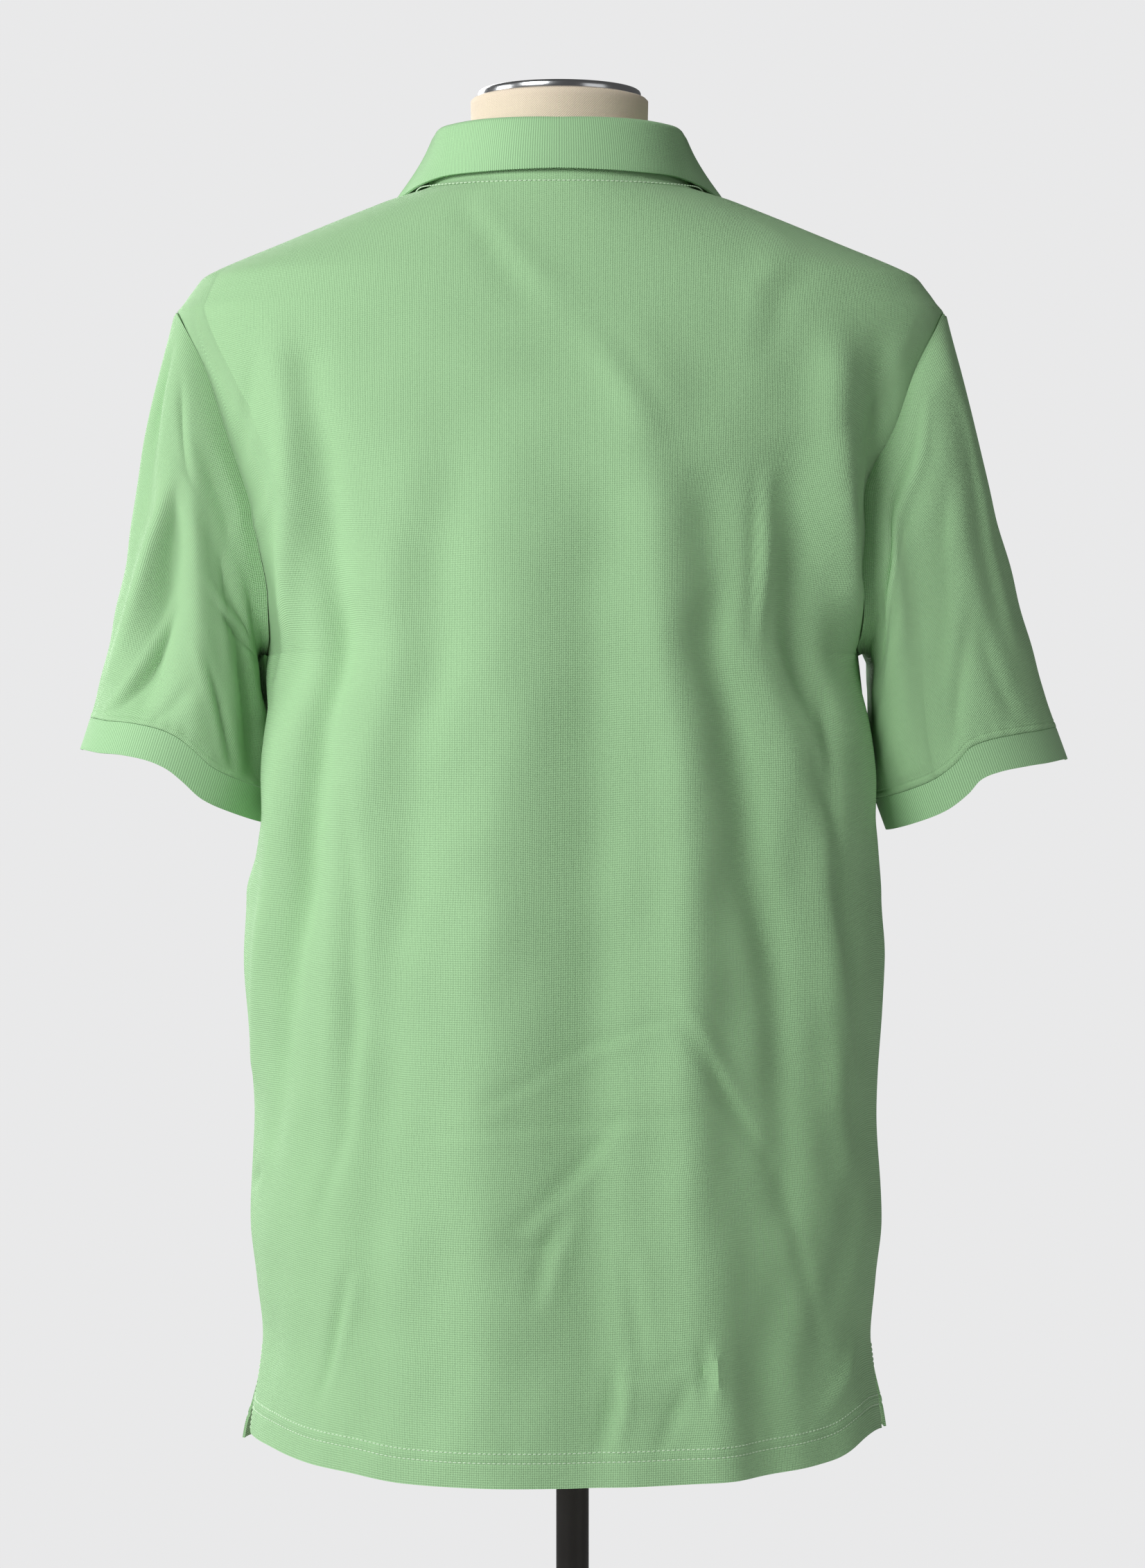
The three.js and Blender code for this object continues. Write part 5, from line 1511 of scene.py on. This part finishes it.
class POLO_PG_stage(bpy.types.PropertyGroup):
    """Camera and light."""

    distance: bpy.props.FloatProperty(
        name="Camera distance", description="Distance of the camera behind the shirt", unit="LENGTH", default=2.6, min=0.5,
    )
    height: bpy.props.FloatProperty(
        name="Camera height", description="Height of the camera above the floor", unit="LENGTH", default=1.137, min=0.1,
    )
    lens: bpy.props.FloatProperty(
        name="Lens", description="Focal length on a 36 mm high sensor", subtype="DISTANCE_CAMERA", default=97.2, min=10,
    )
    key_power: bpy.props.FloatProperty(
        name="Key light", description="Power of the large soft light beside the camera", unit="POWER", default=21.0, min=0,
    )
    fill_strength: bpy.props.FloatProperty(
        name="Fill light", description="Brightness of the light from all around", default=0.12, min=0,
    )


# Operators


class POLO_OT_stage(bpy.types.Operator):
    """Sets up the camera, the floor, the light and the pale surroundings."""

    bl_idname = "polo.stage"
    bl_label = "Stage"

    def execute(self, context):
        scene = context.scene
        stage = scene.polo_stage
        camera = bpy.data.objects.new("camera", bpy.data.cameras.new("camera"))
        camera.data.lens = stage.lens
        camera.data.sensor_width = 36.0
        camera.location = (0, stage.distance, stage.height)
        camera.rotation_euler = (math.radians(90), 0, math.radians(180))
        camera.data.clip_end = 100
        scene.collection.objects.link(camera)
        scene.camera = camera
        build_floor()
        build_lights(scene, stage)
        return {"FINISHED"}


def build_floor():
    mesh = bpy.data.meshes.new("floor")
    size = 2.2
    mesh.from_pydata([(-size, -size, 0), (size, -size, 0), (size, size, 0), (-size, size, 0)], [], [(0, 1, 2, 3)])
    floor = bpy.data.objects.new("floor", mesh)
    floor.data.materials.append(plain_material("floor_paint", (0.78, 0.78, 0.78)))
    bpy.context.scene.collection.objects.link(floor)


def area_light(name, place, target, size, power):
    light = bpy.data.lights.new(name, "AREA")
    light.shape = "RECTANGLE"
    light.size, light.size_y = size
    light.energy = power
    holder = bpy.data.objects.new(name, light)
    holder.location = place
    holder.rotation_euler = (Vector(target) - Vector(place)).to_track_quat("-Z", "Y").to_euler()
    bpy.context.scene.collection.objects.link(holder)
    return holder


def build_lights(scene, stage):
    middle = (0, 0, 1.15)
    area_light("key", (2.0, 0.2, 1.55), middle, (0.8, 1.2), stage.key_power * 0.85)
    area_light("above", (1.5, 2.05, 2.4), middle, (1.4, 1.2), stage.key_power * 2.7)
    area_light("side", (-2.2, 1.8, 1.6), middle, (1.6, 1.6), stage.key_power * 0.36)
    area_light("front", (0.9, -1.9, 1.9), middle, (1.6, 1.6), stage.key_power * 1.85)
    world = bpy.data.worlds.new("studio")
    scene.world = world
    world.use_nodes = True
    tree = world.node_tree
    tree.nodes.clear()
    out = tree.nodes.new("ShaderNodeOutputWorld")
    light = tree.nodes.new("ShaderNodeBackground")
    light.inputs["Color"].default_value = (1, 1, 1, 1)
    light.inputs["Strength"].default_value = stage.fill_strength
    seen = tree.nodes.new("ShaderNodeBackground")
    seen.inputs["Color"].default_value = (0.815, 0.815, 0.82, 1)
    seen.inputs["Strength"].default_value = 1.0
    path = tree.nodes.new("ShaderNodeLightPath")
    mix = tree.nodes.new("ShaderNodeMixShader")
    tree.links.new(path.outputs["Is Camera Ray"], mix.inputs[0])
    tree.links.new(light.outputs[0], mix.inputs[1])
    tree.links.new(seen.outputs[0], mix.inputs[2])
    tree.links.new(mix.outputs[0], out.inputs["Surface"])
    scene.view_settings.view_transform = "Standard"
    scene.view_settings.look = "None"


class POLO_OT_panels(bpy.types.Operator):
    """Builds the back and front panels."""

    bl_idname = "polo.panels"
    bl_label = "Back and front"

    def execute(self, context):
        cloth = material("cotton_pique", lambda: pique_material(context.scene.polo_cloth))
        back = build_panel("back", True, cloth)
        front = build_panel("front", False, cloth)
        return {"FINISHED"}


class POLO_OT_sleeves(bpy.types.Operator):
    """Builds both sleeves and their rib cuffs."""

    bl_idname = "polo.sleeves"
    bl_label = "Sleeves and cuffs"

    def execute(self, context):
        settings = context.scene.polo_cloth
        cloth = material("cotton_pique", lambda: pique_material(settings))
        knit = material("rib_knit", lambda: rib_material(settings))
        for side in SLEEVES:
            sleeve = build_sleeve(side, cloth)
            cuff = build_cuff(side, knit, settings.rib_pitch / MM)
        return {"FINISHED"}


class POLO_OT_collar(bpy.types.Operator):
    """Builds the fold-down rib collar."""

    bl_idname = "polo.collar"
    bl_label = "Collar"

    def execute(self, context):
        settings = context.scene.polo_cloth
        knit = material("rib_knit", lambda: rib_material(settings))
        piece = build_collar(knit, settings.rib_pitch / MM)
        return {"FINISHED"}


class POLO_OT_placket(bpy.types.Operator):
    """Builds the two placket strips and the buttons."""

    bl_idname = "polo.placket"
    bl_label = "Placket and buttons"

    def execute(self, context):
        settings = context.scene.polo_cloth
        cloth = material("cotton_pique", lambda: pique_material(settings))
        resin = material("button_resin", lambda: button_material(settings))
        thread = material("sewing_thread", lambda: thread_material(settings))
        over = build_placket("placket_over", PLACKET["half_width"], PLACKET["lift"], cloth)
        under = build_placket("placket_under", PLACKET["half_width"] - 1, PLACKET["lift"] - PLACKET["under"], cloth)
        for number, drop in enumerate(BUTTON["drops"], 1):
            build_button(number, drop, resin, thread)
        return {"FINISHED"}


class POLO_OT_stitches(bpy.types.Operator):
    """Sews the rows of topstitching."""

    bl_idname = "polo.stitches"
    bl_label = "Stitches"

    def execute(self, context):
        thread = material("sewing_thread", lambda: thread_material(context.scene.polo_cloth))
        build_seam_stitches(thread)
        return {"FINISHED"}


class POLO_OT_form(bpy.types.Operator):
    """Builds the dress form, its cap, the pole and the base."""

    bl_idname = "polo.form"
    bl_label = "Dress form and stand"

    def execute(self, context):
        settings = context.scene.polo_form
        build_form(material("linen_cover", lambda: linen_material(settings)))
        build_cap(material("polished_chrome", chrome_material))
        dark = material("dark_enamel", lambda: dark_metal_material(settings))
        build_pole(dark)
        build_base(dark)
        return {"FINISHED"}


class POLO_PT_sidebar(bpy.types.Panel):
    """Lists the steps and the settings of the polo shirt."""

    bl_idname = "POLO_PT_sidebar"
    bl_label = "Polo Shirt"
    bl_space_type = "VIEW_3D"
    bl_region_type = "UI"
    bl_category = "Polo Shirt"

    def draw(self, context):
        column = self.layout.column()
        for step in STEPS:
            column.operator(step.bl_idname)
        for group in ("polo_cloth", "polo_form", "polo_stage"):
            settings = getattr(context.scene, group)
            for name in settings.__annotations__:
                column.prop(settings, name)


GROUPS = {"polo_cloth": POLO_PG_cloth, "polo_form": POLO_PG_form, "polo_stage": POLO_PG_stage}
STEPS = (
    POLO_OT_stage,
    POLO_OT_form,
    POLO_OT_panels,
    POLO_OT_sleeves,
    POLO_OT_collar,
    POLO_OT_placket,
    POLO_OT_stitches,
)


def register():
    for group in (*GROUPS.values(), *STEPS, POLO_PT_sidebar):
        bpy.utils.register_class(group)
    for name, group in GROUPS.items():
        setattr(bpy.types.Scene, name, bpy.props.PointerProperty(type=group))


def unregister():
    for name in GROUPS:
        delattr(bpy.types.Scene, name)
    for group in reversed((*GROUPS.values(), *STEPS, POLO_PT_sidebar)):
        bpy.utils.unregister_class(group)


def main():
    register()
    for step in STEPS:
        area, name = step.bl_idname.split(".")
        getattr(getattr(bpy.ops, area), name)()


if __name__ == "__main__":
    main()
